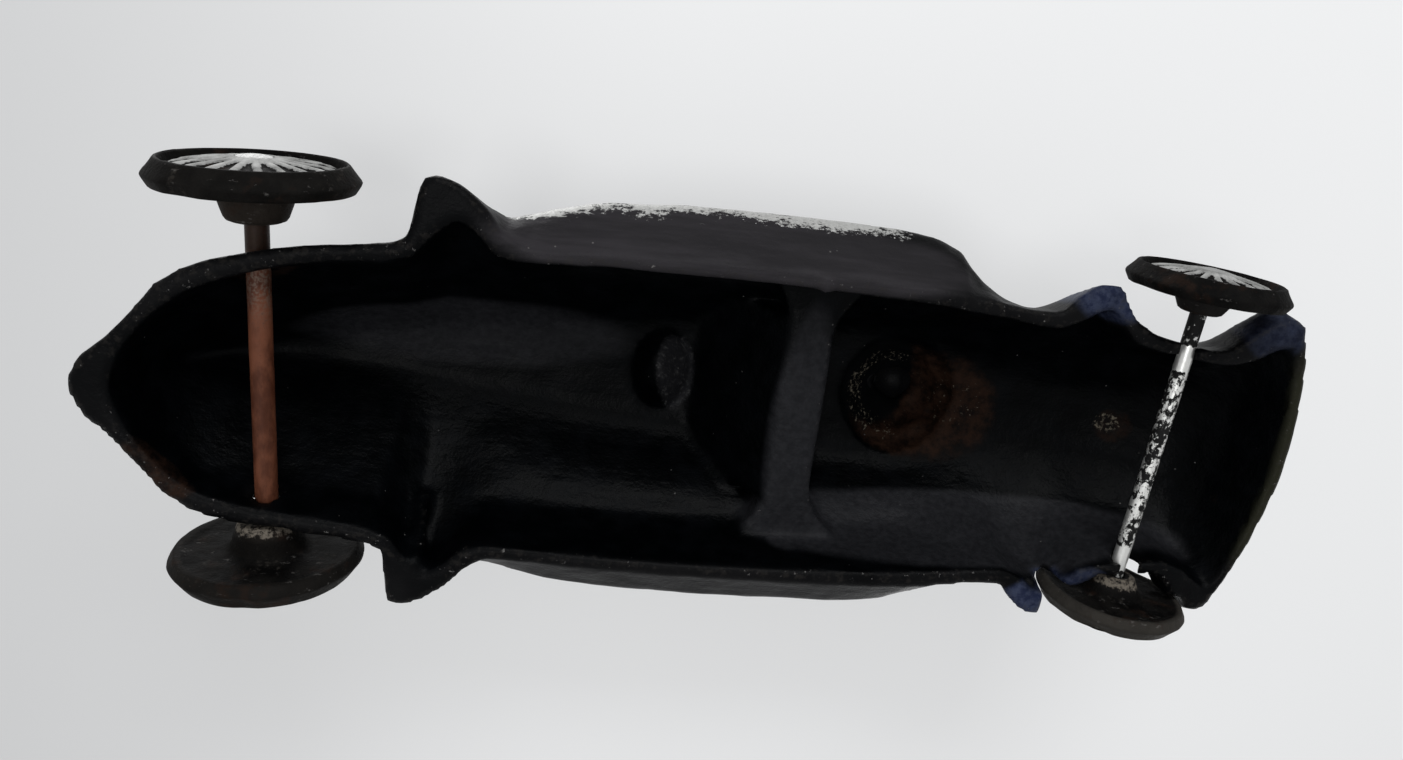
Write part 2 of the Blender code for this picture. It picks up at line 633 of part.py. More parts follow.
def cut_wheel_wells(body):
    """A round well in the fairings at each wheel, following the wheel where the rod sits askew."""
    rear = (REAR_WHEEL_RADIUS, REAR_TREAD_WIDTH, REAR_BOSS_LENGTH, REAR_BOSS_RADIUS)
    front = (FRONT_WHEEL_RADIUS, FRONT_TREAD_WIDTH, FRONT_BOSS_LENGTH, FRONT_BOSS_RADIUS)
    for x, sizes, track, slip, yaw in (
        (world_x(0), rear, REAR_TRACK, REAR_SIDE_SLIP, REAR_AXLE_YAW),
        (world_x(MODEL_WHEELBASE), front, FRONT_TRACK, FRONT_SIDE_SLIP, FRONT_AXLE_YAW),
    ):
        for side in (-1, 1):
            bm = wheel_well(*sizes)
            if side < 0:
                bmesh.ops.transform(bm, matrix=Matrix.Diagonal((1, -1, 1, 1)), verts=bm.verts)
            well = object_from(bm, "wheel_well")
            well.location = wheel_centre(x, side, sizes[0], track, slip, yaw) * MM
            well.rotation_euler.z = math.radians(yaw)
            combine(body, well, "DIFFERENCE")


def cut_axle_holes(body):
    """Round holes straight across, wide enough for the rod as it sits."""
    for x, height, rod, yaw in (
        (world_x(0), REAR_WHEEL_RADIUS, REAR_ROD_RADIUS, REAR_AXLE_YAW),
        (world_x(MODEL_WHEELBASE), FRONT_WHEEL_RADIUS, FRONT_ROD_RADIUS, FRONT_AXLE_YAW),
    ):
        play = HOLE_HALF_SPAN * abs(math.sin(math.radians(yaw)))
        hole = cylinder_y("axle_hole", rod + play + BODY_HOLE_CLEARANCE, 90.0, (x, 0, height))
        combine(body, hole, "DIFFERENCE")


def build_body():
    places = stations(
        MODEL_TAIL, MODEL_NOSE, (RIM_HALF_WIDTH, BELT_HALF_WIDTH, SHOULDER_HALF_WIDTH, DECK_HEIGHT)
    )
    body = loft("body_casting", places, outer_section)
    deck = interpolate(DECK_HEIGHT, HEADREST_X)
    rest = ellipsoid(
        "headrest",
        (world_x(COCKPIT_SEAT_TOP) + 0.1 * HEADREST_LENGTH - HEADREST_LENGTH * 0.6, 0, deck - 2.0),
        (HEADREST_LENGTH, HEADREST_HALF_WIDTH, HEADREST_TOP - deck + 2.0),
        segments=28,
        rings=14,
    )
    combine(body, rest, "UNION")
    top = HEADREST_TOP + 10
    well = slab("cockpit", cockpit_profile(0.0, top), 2 * COCKPIT_HALF_WIDTH)
    rear = world_x(COCKPIT_SEAT_TOP) - 6.0
    front = world_x(COCKPIT_REAR) + COCKPIT_LENGTH + COCKPIT_FRONT_RAKE + 3.0
    plan = oval((rear + front) / 2, (front - rear) / 2, COCKPIT_HALF_WIDTH, 3.0)
    combine(well, extruded("cockpit_plan", plan, COCKPIT_FLOOR - 5, top + 5), "INTERSECT")
    combine(body, well, "DIFFERENCE")
    join_driver(body)
    combine(body, build_cavity(), "DIFFERENCE")
    rib_foot = (world_x(RIB_X), interpolate(INNER_HALF_WIDTH, RIB_X) + 0.6, RIM_HEIGHT + 1.6)
    rib_head = (world_x(RIB_X - 1), interpolate(SHOULDER_HALF_WIDTH, RIB_X) - 0.4, RIM_HEIGHT + 12.9)
    combine(body, capsule("rib", rib_foot, rib_head, RIB_RADIUS, RIB_RADIUS), "UNION")
    cut_wheel_wells(body)
    cut_axle_holes(body)
    body.data.materials.append(material("body_enamel", (0.018, 0.022, 0.03), 0.35, 0.42))
    return body


def wheel(name, x, side, radius, tread, track, slip, yaw, boss_length, boss_radius, rod_radius):
    """A cast wheel on its axle: bore, tapered boss inside, ridged tread and a domed, spoked face."""
    bore = rod_radius + WHEEL_BORE_CLEARANCE
    inner = -INNER_SHARE * tread
    outer = OUTER_SHARE * tread
    hub = boss_radius * 0.72
    spoke_in = hub + 0.9
    spoke_out = radius * 0.8
    profile = [
        (inner - boss_length, bore),
        (inner - boss_length, boss_radius * 0.62),
        (inner - boss_length + 0.5, boss_radius * 0.74),
        (inner, boss_radius + BOSS_FLARE),
        (inner, radius * 0.94),
        (0, radius),
        (outer - 0.35, radius * 0.895),
        (outer, radius * 0.865),
        (outer - 0.7, radius * 0.83),
        (outer - 1.1, spoke_out),
        (outer - 0.95, spoke_out - 0.7),
        (outer - 0.6, (spoke_in + spoke_out) / 2),
        (outer - 0.25, spoke_in + 0.3),
        (outer - 0.05, spoke_in - 0.4),
        (outer + HUB_RISE, hub - 0.5),
        (outer + HUB_RISE, bore),
    ]
    raised = (10, 11, 12)

    def lift(index, k):
        return SPOKE_RELIEF if index in raised and k % 3 else 0.0

    bm = revolve(profile, SPOKE_COUNT * 3, lift)
    if side < 0:
        bmesh.ops.transform(bm, matrix=Matrix.Diagonal((1, -1, 1, 1)), verts=bm.verts)
    obj = object_from(bm, name)
    obj.location = wheel_centre(x, side, radius, track, slip, yaw) * MM
    obj.rotation_euler.z = math.radians(yaw)
    obj.data.materials.append(material(name + "_enamel", (0.03, 0.03, 0.032), 0.4, 0.5))
    return obj


def axle(name, x, height, rod_radius, track, tread, slip, yaw, colour, roughness):
    """A rod with both ends peened over just outside the wheels' hubs."""
    seat = track / 2 + OUTER_SHARE * tread + HUB_RISE + SEAT_GAP
    end = seat + PEEN_LENGTH
    head = rod_radius + PEEN_RADIUS_EXTRA
    half = [(seat, rod_radius), (seat, head), (end - 0.3, head - 0.1), (end, head - 0.6), (end, 0)]
    profile = [(-along, radius) for along, radius in reversed(half)] + half
    obj = object_from(revolve(profile, ROD_SEGMENTS), name)
    obj.location = (Vector((x, 0, height)) - slip * axle_direction(yaw)) * MM
    obj.rotation_euler.z = math.radians(yaw)
    obj.data.materials.append(material(name + "_steel", colour, 0.8, roughness))
    return obj


def main():
    for obj in list(bpy.data.objects):
        bpy.data.objects.remove(obj)
    build_body()
    rear_x = world_x(0)
    front_x = world_x(MODEL_WHEELBASE)
    axle(
        "rear_axle", rear_x, REAR_WHEEL_RADIUS, REAR_ROD_RADIUS, REAR_TRACK, REAR_TREAD_WIDTH, REAR_SIDE_SLIP,
        REAR_AXLE_YAW, (0.2, 0.09, 0.06), 0.75,
    )
    axle(
        "front_axle", front_x, FRONT_WHEEL_RADIUS, FRONT_ROD_RADIUS, FRONT_TRACK, FRONT_TREAD_WIDTH,
        FRONT_SIDE_SLIP, FRONT_AXLE_YAW, (0.6, 0.6, 0.6), 0.35,
    )
    for side, label in ((-1, "right"), (1, "left")):
        wheel(
            "wheel_rear_" + label, rear_x, side, REAR_WHEEL_RADIUS, REAR_TREAD_WIDTH, REAR_TRACK,
            REAR_SIDE_SLIP, REAR_AXLE_YAW, REAR_BOSS_LENGTH, REAR_BOSS_RADIUS, REAR_ROD_RADIUS,
        )
        wheel(
            "wheel_front_" + label, front_x, side, FRONT_WHEEL_RADIUS, FRONT_TREAD_WIDTH, FRONT_TRACK,
            FRONT_SIDE_SLIP, FRONT_AXLE_YAW, FRONT_BOSS_LENGTH, FRONT_BOSS_RADIUS, FRONT_ROD_RADIUS,
        )
    for obj in bpy.context.scene.objects:
        obj.data.shade_smooth()
        obj.data.set_sharp_from_angle(angle=math.radians(SMOOTH_ANGLE))


main()
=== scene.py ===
"""The toy race car's looks: rough cast iron under worn enamel, seen from below as it lies on its back."""

import math

import bmesh
import bpy
import numpy as np
from mathutils import Matrix, Vector, noise
from mathutils.bvhtree import BVHTree


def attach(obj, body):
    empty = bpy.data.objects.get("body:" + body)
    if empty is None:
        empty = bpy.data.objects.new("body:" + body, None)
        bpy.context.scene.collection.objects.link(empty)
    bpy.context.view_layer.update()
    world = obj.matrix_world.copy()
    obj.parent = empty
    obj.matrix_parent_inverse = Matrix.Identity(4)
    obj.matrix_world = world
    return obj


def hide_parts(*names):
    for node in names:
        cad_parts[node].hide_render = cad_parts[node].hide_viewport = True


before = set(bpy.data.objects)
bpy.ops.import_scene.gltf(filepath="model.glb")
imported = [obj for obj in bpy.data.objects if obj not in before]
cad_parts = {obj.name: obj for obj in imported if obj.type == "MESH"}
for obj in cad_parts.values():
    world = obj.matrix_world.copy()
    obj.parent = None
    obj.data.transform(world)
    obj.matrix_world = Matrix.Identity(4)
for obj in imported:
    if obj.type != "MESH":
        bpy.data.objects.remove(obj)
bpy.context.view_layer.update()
MM = 0.001

# Sizes that follow the solids, in millimetres, and the rods' turns, in degrees
REAR_AXLE = {"x": -64.4, "height": 13.55, "yaw": -1.4, "slip": 0.8, "rod": 1.6, "track": 55.4, "tread": 3.8}
FRONT_AXLE = {"x": 68.0, "height": 11.5, "yaw": 2.8, "slip": 2.0, "rod": 1.2, "track": 51.2, "tread": 3.3}
REAR_WHEEL = {"radius": 13.55, "boss_length": 4.4, "boss_radius": 5.4}
FRONT_WHEEL = {"radius": 11.5, "boss_length": 2.7, "boss_radius": 4.3}
BORE_PLAY = 0.25  # between a rod and its wheel's bore
HOLE_REACH = 1.25  # how far outside its rod the wall of a hole in the casting may lie
HEAD_CENTRE = (35.4, 0.0, 46.9)
HEAD_RADII = (5.7, 5.25, 6.45)
SCARF_CENTRE = (34.4, 0.0, 41.4)
STEERING_CENTRE = (47.1, 0.0, 37.05)
STEERING_LEAN = 0.6  # radians
DASH_HEIGHT = 33.6  # the steering wheel's piece stops there

# Details that only the scene has, in millimetres
GRAIN = 0.8  # the casting's mesh
CLOGGED_GAP = 0.32  # what old paint and rust leave open round a rod
RIM_NIB = (12.6, -22.6, 9.2)
FIGURE_X, FIGURE_REACH = 35.0, 15.0  # the driver and the hollow below
LIP_X, LIP_Y, LIP_RADIUS = 33.7, 0.7, 7.2  # the lip of that hollow
SPOKES = 18
SEGMENTS_PER_SPOKE = 10
HEAD_EXTRA = 0.75  # how much wider than its rod a hammered head is
HEAD_ROOM = 0.12  # between that head and the well round it

# The photograph's camera, from the plane of the wheels, and how it sees the toy
RIGHT = Vector((0.989179, -0.118383, -0.086659))
DOWN = Vector((0.08643, 0.947513, -0.307813))
AHEAD = Vector((0.11855, 0.296992, 0.947492))
EYE = Vector((-20.39, -50.25, -128.07)) * MM
SENSOR, LENS = 36.0, 26.2425

# The table against the overturned toy's top, the floor and the lamps, in metres and watts
TABLE_CENTRE, TABLE_SIZE = (0.023, 0.012, 0.0546), (0.335, 0.192)
# the table's left end is darkened by painted shade
TABLE_WHITE, TABLE_PAINTED_SHADE = (0.90, 0.905, 0.91), 0.42  # the second is how far its left end darkens
FLOOR_SIZE, FLOOR_WHITE = (3.0, 3.0), (0.80, 0.80, 0.80)
PALE_SHARE = 0.42  # of a sheet's look that the lamps don't change
ROOM_LIGHT, ROOM_SEEN = 0.45, 0.82  # the world's strength on the toy, and as the camera sees it
DAYLIGHT = (0.98, 0.99, 1.0)
# the dim glow of the painted shade on the table's left end
PAINTED_SHADE_GLOW = (0.97, 0.98, 1.0)
AIM = Vector((0.0, 0.0, 0.02))  # where the lamps point
BELOW = AIM - AHEAD * 0.49 - DOWN * 0.36 + RIGHT * 0.16
CEILING = AIM - AHEAD * 0.6 + DOWN * 0.12 - RIGHT * 0.1

# Numbers of the Mix node's colour sockets
MIX_FACTOR, MIX_LOW, MIX_HIGH, MIX_RESULT = 0, 6, 7, 2


class Wire:
    """One socket of a node, with arithmetic."""

    def __init__(self, mat, socket):
        self.mat = mat
        self.socket = socket

    def maths(self, operation, *others):
        return self.mat.node("ShaderNodeMath", {"operation": operation}, [self, *others])

    def __add__(self, other):
        return self.maths("ADD", other)

    def __radd__(self, other):
        return self.maths("ADD", other)

    def __sub__(self, other):
        return self.maths("SUBTRACT", other)

    def __rsub__(self, other):
        return self.mat.node("ShaderNodeMath", {"operation": "SUBTRACT"}, [other, self])

    def __mul__(self, other):
        return self.maths("MULTIPLY", other)

    def __rmul__(self, other):
        return self.maths("MULTIPLY", other)

    def __truediv__(self, other):
        return self.maths("DIVIDE", other)

    def __pow__(self, other):
        return self.maths("POWER", other)

    def absolute(self):
        return self.maths("ABSOLUTE")

    def least(self, other):
        return self.maths("MINIMUM", other)

    def most(self, other):
        return self.maths("MAXIMUM", other)

    def between(self, low, high):
        """0 at low, 1 at high, smooth between."""
        settings = {"interpolation_type": "SMOOTHSTEP"}
        values = {"Value": self, "From Min": low, "From Max": high}
        return self.mat.node("ShaderNodeMapRange", settings, values)


class Finish:
    """A material with its Principled shader."""

    def __init__(self, name):
        self.material = bpy.data.materials.new(name)
        self.material.use_nodes = True
        self.tree = self.material.node_tree
        self.shader = self.tree.nodes["Principled BSDF"]
        self.where = self.node("ShaderNodeTexCoord", {}, {}, "Object")

    def node(self, kind, settings, values, output=0):
        """Any node, from its type, its settings, and the values or wires of its sockets."""
        made = self.tree.nodes.new(kind)
        for key, value in settings.items():
            setattr(made, key, value)
        pairs = values.items() if isinstance(values, dict) else enumerate(values)
        for key, value in pairs:
            if isinstance(value, Wire):
                self.tree.links.new(value.socket, made.inputs[key])
            else:
                made.inputs[key].default_value = value
        return Wire(self, made.outputs[output])

    def set(self, **values):
        """Sets or links the shader's sockets; an underscore stands for a space in their names."""
        for key, value in values.items():
            socket = self.shader.inputs[key.replace("_", " ")]
            if isinstance(value, Wire):
                self.tree.links.new(value.socket, socket)
            else:
                socket.default_value = value

    def noise(self, size, detail=3.0, rough=0.55, offset=(0, 0, 0), stretch=(1, 1, 1)):
        """Noise with features of about size millimetres, 0 to 1."""
        moved = {"Vector": self.where, "Location": offset, "Scale": stretch}
        place = self.node("ShaderNodeMapping", {}, moved)
        values = {"Vector": place, "Scale": 1000.0 / size, "Detail": detail, "Roughness": rough}
        return self.node("ShaderNodeTexNoise", {}, values, "Fac")

    def cells(self, size):
        """The distance to scattered points about size millimetres apart."""
        values = {"Vector": self.where, "Scale": 1000.0 / size}
        return self.node("ShaderNodeTexVoronoi", {}, values, "Distance")

    def axes(self):
        """The place on the object along X, Y and Z, in millimetres."""
        split = self.node("ShaderNodeSeparateXYZ", {}, [self.where])
        outs = split.socket.node.outputs
        return [Wire(self, outs[k]) * 1000.0 for k in range(3)]

    def attribute(self, name):
        return self.node("ShaderNodeAttribute", {"attribute_name": name}, {}, "Fac")

    def mix(self, share, low, high):
        """A colour from low to high; each is a colour or a wire."""
        colours = [c if isinstance(c, Wire) else (*c, 1.0) for c in (low, high)]
        made = self.tree.nodes.new("ShaderNodeMix")
        made.data_type = "RGBA"
        for number, value in zip((MIX_FACTOR, MIX_LOW, MIX_HIGH), (share, *colours)):
            socket = made.inputs[number]
            if isinstance(value, Wire):
                self.tree.links.new(value.socket, socket)
            else:
                socket.default_value = value
        return Wire(self, made.outputs[MIX_RESULT])

    def bump(self, height, depth):
        """Relief of depth millimetres where height goes from 0 to 1."""
        values = {"Height": height, "Distance": depth * MM, "Strength": 1.0}
        return self.node("ShaderNodeBump", {}, values, "Normal")

    def patch(self, centre, radii):
        """1 at a place on the object, falling to 0 at the radii, in millimetres."""
        total = None
        for axis, middle, radius in zip(self.axes(), centre, radii):
            if radius is None:
                continue
            part = ((axis - middle) / radius) ** 2
            total = part if total is None else total + part
        return 1 - total.between(0.35, 1.0)


def relief(point, size, seed=0.0):
    """Smooth noise from -1 to 1 with features of about size millimetres."""
    return noise.noise(point * (1000.0 / size) + Vector((seed, 1.7 * seed, -0.6 * seed)))


def smooth(value, low, high):
    """0 at low, 1 at high, smooth between."""
    share = min(max((value - low) / (high - low), 0.0), 1.0)
    return share * share * (3 - 2 * share)


def hump(value, centre, width):
    """1 at the centre, and less the further away, over about the width."""
    return math.exp(-(((value - centre) / width) ** 2))


def axle_frame(axle):
    """From an axle's own axes, with the rod along Y, to the toy's."""
    place = Matrix.Translation(Vector((axle["x"], 0, axle["height"])) * MM)
    return place @ Matrix.Rotation(math.radians(axle["yaw"]), 4, "Z")


def finished(bm, name, body, slot, finish, *nodes):
    """Turns the bmesh into a piece that rides on the body and stands for the nodes."""
    mesh = bpy.data.meshes.new(name)
    bm.to_mesh(mesh)
    bm.free()
    piece = bpy.data.objects.new(name, mesh)
    bpy.context.scene.collection.objects.link(piece)
    dressed(piece, body, slot, finish, *nodes)


def dressed(piece, body, slot, finish, *nodes):
    """Gives a piece its finish, the body that it rides on and the nodes that it stands for."""
    piece.data.materials.clear()
    piece.data.materials.append(finish.material)
    piece.data.shade_smooth()
    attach(piece, body)
    if nodes:
        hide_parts(*nodes)


# The casting's skin


def skinned(node, name, size):
    """A copy of a solid with its doubles merged and its corners softened, as sand casting leaves them."""
    bm = bmesh.new()
    bm.from_mesh(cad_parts[node].data)
    bmesh.ops.remove_doubles(bm, verts=bm.verts, dist=1e-6)
    mesh = bpy.data.meshes.new(name)
    bm.to_mesh(mesh)
    bm.free()
    piece = bpy.data.objects.new(name, mesh)
    bpy.context.scene.collection.objects.link(piece)
    skin = piece.modifiers.new("skin", "REMESH")
    skin.mode = "VOXEL"
    skin.voxel_size = size * MM
    graph = bpy.context.evaluated_depsgraph_get()
    made = bpy.data.meshes.new_from_object(piece.evaluated_get(graph))
    piece.modifiers.clear()
    piece.data = made
    return piece


def neighbour_mean(values, first, second, count):
    """For each vertex, the mean of the values at the other ends of its edges."""
    total = np.zeros_like(values)
    np.add.at(total, first, values[second])
    np.add.at(total, second, values[first])
    return total / count.reshape(-1, *([1] * (values.ndim - 1)))


def mark_wear(piece, size):
    """Writes two attributes: edge, 1 on sharp outward edges, and inside, 1 in the hollow."""
    worn_rise = 0.10 * size * MM
    lift = 0.4 * MM
    mesh = piece.data
    total = len(mesh.vertices)
    places = np.empty(total * 3)
    mesh.vertices.foreach_get("co", places)
    places = places.reshape(-1, 3)
    normals = np.empty(total * 3)
    mesh.vertex_normals.foreach_get("vector", normals)
    normals = normals.reshape(-1, 3)
    ends = np.empty(len(mesh.edges) * 2, dtype=np.int64)
    mesh.edges.foreach_get("vertices", ends)
    first, second = ends.reshape(-1, 2).T
    count = np.maximum(np.bincount(ends, minlength=total), 1)
    rise = ((places - neighbour_mean(places, first, second, count)) * normals).sum(axis=1)
    for _ in range(2):
        rise = 0.5 * rise + 0.5 * neighbour_mean(rise, first, second, count)
    edge = np.clip(rise / worn_rise, 0.0, 1.0)
    tree = BVHTree.FromPolygons(
        [Vector(p) for p in places], [tuple(p.vertices) for p in mesh.polygons], epsilon=0.0
    )
    inside = np.zeros(total)
    for k in range(total):
        start = Vector(places[k] + lift * normals[k])
        if tree.ray_cast(start, Vector((0, 0, 1)))[0] is None:
            continue
        if tree.ray_cast(start, Vector((0, 1, 0)))[0] and tree.ray_cast(start, Vector((0, -1, 0)))[0]:
            inside[k] = 1.0
    for _ in range(2):
        inside = 0.5 * inside + 0.5 * neighbour_mean(inside, first, second, count)
    for name, values in (("edge", edge), ("inside", inside)):
        made = mesh.attributes.new(name, "FLOAT", "POINT")
        made.data.foreach_set("value", values.astype(np.float32))
    return places, normals


def clogged(point):
    """Old paint and rust narrow the holes round the rods."""
    for axle in (REAR_AXLE, FRONT_AXLE):
        turned = axle_frame(axle)
        local = turned.inverted() @ point
        away = math.hypot(local.x, local.z) / MM
        widest = axle["rod"] + HOLE_REACH
        if 0.1 < away < widest and abs(local.y) > 10 * MM:
            share = (axle["rod"] + CLOGGED_GAP + 0.5 * max(0.0, away - widest + 0.35)) / away
            if share < 1:
                return turned @ Vector((local.x * share, local.y, local.z * share))
    return point


def roughen(piece, places, normals):
    """Uneven cast surfaces, calm round the rods."""
    for k, vertex in enumerate(piece.data.vertices):
        point = clogged(Vector(places[k]))
        calm = 1.0
        for axle in (REAR_AXLE, FRONT_AXLE):
            off = math.hypot(point.x / MM - axle["x"], point.z / MM - axle["height"])
            calm = min(calm, max(0.25, (off - 2.0) / 5.0))
        push = 0.22 * relief(point, 16.0, 3.0) + 0.12 * relief(point, 5.5, 9.0)
        push += 0.05 * relief(point, 2.0, 5.0)
        # the driver's outside, the lip of the hollow below and that hollow's wall
        figure = math.hypot(point.x / MM - FIGURE_X, point.y / MM) / FIGURE_REACH
        if figure < 1 and point.z > 38.5 * MM:
            push += 0.3 * relief(Vector((point.x, point.y, 2.2 * point.z)), 5.0, 2.0) * (1 - figure)
        lip = hump(math.hypot(point.x / MM - LIP_X, point.y / MM - LIP_Y), LIP_RADIUS, 2.6)
        if lip > 0.02 and 27 * MM < point.z < 37 * MM:
            push += (0.75 * relief(point, 2.8, 4.0) + 0.5 * relief(point, 6.0, 1.0)) * lip
        if figure < 0.6 and 36 * MM < point.z < 52 * MM and normals[k][2] < 0.2:
            push += 2.0 * relief(point, 4.5, 6.0) * (1 - figure / 0.6)
        push += 0.9 * math.exp(-((point - Vector(RIM_NIB) * MM).length / MM / 0.9) ** 2)
        vertex.co = point + Vector(normals[k]) * push * calm * MM


# Colours, most of them from their dark to their light end

OUTSIDE_BLACK = ((0.0014, 0.0015, 0.0018), (0.0042, 0.0042, 0.0046))
# the hollow's black, darker than the outside's: painted shade
SHADED_INSIDE_BLACK = ((0.0003, 0.0005, 0.0007), (0.0010, 0.0013, 0.0018))
# grey for painted sheen in the hollow
PAINTED_SHEEN_GREY = ((0.0125, 0.0127, 0.0145), (0.0215, 0.0218, 0.0245))
# pale grey for painted glints at the hollow's rounded end
PAINTED_GLINT_GREY = ((0.016, 0.016, 0.018), (0.085, 0.085, 0.085))
# lighter black for the right fairing: thinned paint and painted light
THINNED_BLACK_AND_PAINTED_LIGHT = ((0.0165, 0.0155, 0.0172), (0.0270, 0.0250, 0.0280))
OLD_BLUE = ((0.014, 0.019, 0.045), (0.038, 0.047, 0.084))
RUST = ((0.0060, 0.0029, 0.0017), (0.030, 0.0145, 0.0088))
CRUST = (0.17, 0.15, 0.115)
SILVER_PAINT = ((0.30, 0.30, 0.29), (0.58, 0.58, 0.565))
OLIVE = (0.034, 0.034, 0.020)
BARE_IRON = ((0.010, 0.0095, 0.0095), (0.036, 0.032, 0.028))
PALE_CHIP = (0.16, 0.155, 0.15)

WHEEL_BLACK = ((0.0020, 0.0019, 0.0019), (0.0062, 0.0058, 0.0054))
WHEEL_CRUST = (0.16, 0.14, 0.115)
WHEEL_CRUMBS = (0.055, 0.048, 0.040)
WHEEL_RUST = (0.020, 0.011, 0.0075)
WHEEL_CHIPS = (0.035, 0.031, 0.027)
# painted shade on the left wheel's boss
PAINTED_BOSS_SHADE = (0.0022, 0.0021, 0.0020)
WHEEL_SCRATCHES = (0.11, 0.105, 0.10)
WHEEL_SILVER = ((0.17, 0.17, 0.165), (0.42, 0.42, 0.41))
# the rubbed boss, the dust on the right wheel's tread and the dust on the left wheel's
REAR_WHEEL_TINTS = ((0.055, 0.044, 0.036), (0.0125, 0.0115, 0.0103), (0.0110, 0.0100, 0.0090))
FRONT_WHEEL_TINTS = ((0.028, 0.026, 0.025), (0.0055, 0.0053, 0.0052), (0.046, 0.042, 0.037))

ROD_RUST = ((0.050, 0.0150, 0.0072), (0.120, 0.042, 0.022))
ROD_PITS = (0.018, 0.009, 0.006)
ROD_RUBBED = (0.13, 0.10, 0.08)
ROD_DARK_END = (0.010, 0.0065, 0.0045)
ROD_HEAD_SILVER = ((0.18, 0.18, 0.175), (0.38, 0.38, 0.37))
STEEL = ((0.55, 0.55, 0.53), (0.76, 0.76, 0.74))
STEEL_SPECKS = (0.005, 0.005, 0.005)
STEEL_HEAD_SILVER = (0.28, 0.28, 0.275)

# Shine of each finish, as Specular IOR Level
BODY_SHINE, WHEEL_SHINE, ROD_SHINE = 0.036, 0.02, 0.12


# Finishes


def body_finish():
    """Black enamel brushed over rough cast iron, worn at the edges, over older blue and silver paint, with
    painted shade, sheen and glints in the hollow and painted light on the right fairing.
    """
    f = Finish("worn_black_enamel")
    x, y, z = f.axes()
    inside = f.attribute("inside")
    edge = f.attribute("edge")
    broad = f.noise(18.0, 3.0)
    blotch = f.noise(4.5, 4.0, 0.6)
    fine = f.noise(1.1, 4.0, 0.65)
    grain = f.noise(0.45, 2.0)
    outside_black = f.mix(broad.between(0.35, 0.65), *OUTSIDE_BLACK)
    # the hollow darker than the outside: painted shade
    shaded_inside_black = f.mix(blotch.between(0.4, 0.7), *SHADED_INSIDE_BLACK)
    colour = f.mix(inside, outside_black, shaded_inside_black)
    # painted sheen, greyed like dust, in the hollow: along the roof behind the cockpit and on the cross bar
    # and the ledge; painted glints at the roof's rounded end
    roof = f.patch((-38, -4, 33), (34, 8, 8)) * 0.75
    round_end = f.patch((-4.2, 0.5, 40), (4.0, 8.5, 13))
    bar = f.patch((14.5, 5, 20), (6, 26, 8))
    ledge = f.patch((46, 18, 20), (48, 6.5, 12)) * 1.25
    # where the painted sheen lies
    painted_sheen = (roof.most(bar).most(ledge) * (0.35 + 1.3 * broad) * inside).between(0.1, 0.9)
    colour = f.mix(painted_sheen * 0.8, colour, f.mix(fine.between(0.3, 0.75), *PAINTED_SHEEN_GREY))
    # painted glints: lighter specks at the rounded end of the roof
    speckle = f.noise(0.9, 5.0, 0.75, (5, 5, 0))
    painted_glints = (round_end * (0.3 + 1.4 * speckle) * inside).between(0.3, 1.0)
    colour = f.mix(painted_glints * 0.75, colour, f.mix(speckle.between(0.50, 0.75), *PAINTED_GLINT_GREY))
    # thinned, dusty black on the right fairing, made lighter than the rest as painted light on the side that
    # faces the lamps
    streaks = f.noise(6.0, 3.0, 0.6, (2, 0, 0), (0.5, 1.0, 1.0))
    drawn = f.noise(3.0, 4.0, 0.6, (6, 0, 4), (0.12, 1.0, 1.0))
    thinned_and_lit_fairing = f.patch((-1, -25.5, 11.5), (43, 7.5, 8.5)) * (0.35 + 0.7 * broad + 0.6 * drawn) * (1 - inside)
    colour = f.mix(thinned_and_lit_fairing.between(0.15, 0.9), colour, f.mix(drawn.between(0.35, 0.65), *THINNED_BLACK_AND_PAINTED_LIGHT))
    # older blue paint where the black has thinned, on the front bulges and the nose's corners
    bulge_left = f.patch((54, 24.5, 9), (8, 5, 12))
    recess = f.patch((60, 20, 9), (6, 3, 7)) * 0.7
    bulge_right = f.patch((55, -26, 14), (9, 7, 14)) * 0.8
    corner = f.patch((81, -23, 10), (7, 7, 12)) * 0.52
    blue_place = bulge_left.most(recess).most(bulge_right).most(corner)
    thinned = f.noise(14.0, 5.0, 0.7, (3, 8, 2)).between(0.56, 0.66) * z.between(19.0, 24.0) * 0.55
    thinned = thinned * (1 - f.patch((36, 0, 44), (11, 10, 15)))
    blue = (blue_place.most(thinned) * (0.45 + blotch)).between(0.2, 0.95) * (1 - inside) * 0.9
    colour = f.mix(blue, colour, f.mix(fine.between(0.35, 0.6), *OLD_BLUE))
    # rust: tail rim, round the rods, in the figure's hollow, and faint elsewhere
    tail = f.patch((-77, 12.4, 9), (8, 6.5, 4)) * 0.58
    holes = f.patch((-64.4, None, 13.5), (6, None, 6)) * (1 - 0.6 * y.between(5.0, 15.0)) * 0.5
    core = 1 - (((x - 31.3) / 6.6) ** 2 + ((y + 1.2) / 8.2) ** 2).between(0.6, 1.3)
    hollow = f.patch((36, 1.5, 36), (12, 12, 11)) * (1 - 0.9 * core)
    stain = f.patch((40.5, 1.5, 34), (13.5, 12.5, 9)) * 0.66 * (1 - 0.9 * core)
    flash = f.patch((70.6, 0.8, 30), (4, 4, 8)) * 0.5
    spots = (f.noise(7.0, 3.0, 0.5, (4, 2, 9)).between(0.62, 0.75)) * 0.3
    in_hollow = holes.most(hollow).most(stain).most(flash) * inside
    rust_place = tail.most(in_hollow).most(spots)
    ragged = f.noise(3.0, 5.0, 0.7, (1, 5, 2))
    rust = (rust_place * (0.1 + 1.2 * ragged + 0.7 * blotch) * (0.6 + 0.8 * fine)).between(0.25, 0.95)
    rust_colour = f.mix(ragged.between(0.35, 0.65), *RUST)
    colour = f.mix(rust * (1 - 0.35 * inside), colour, rust_colour)
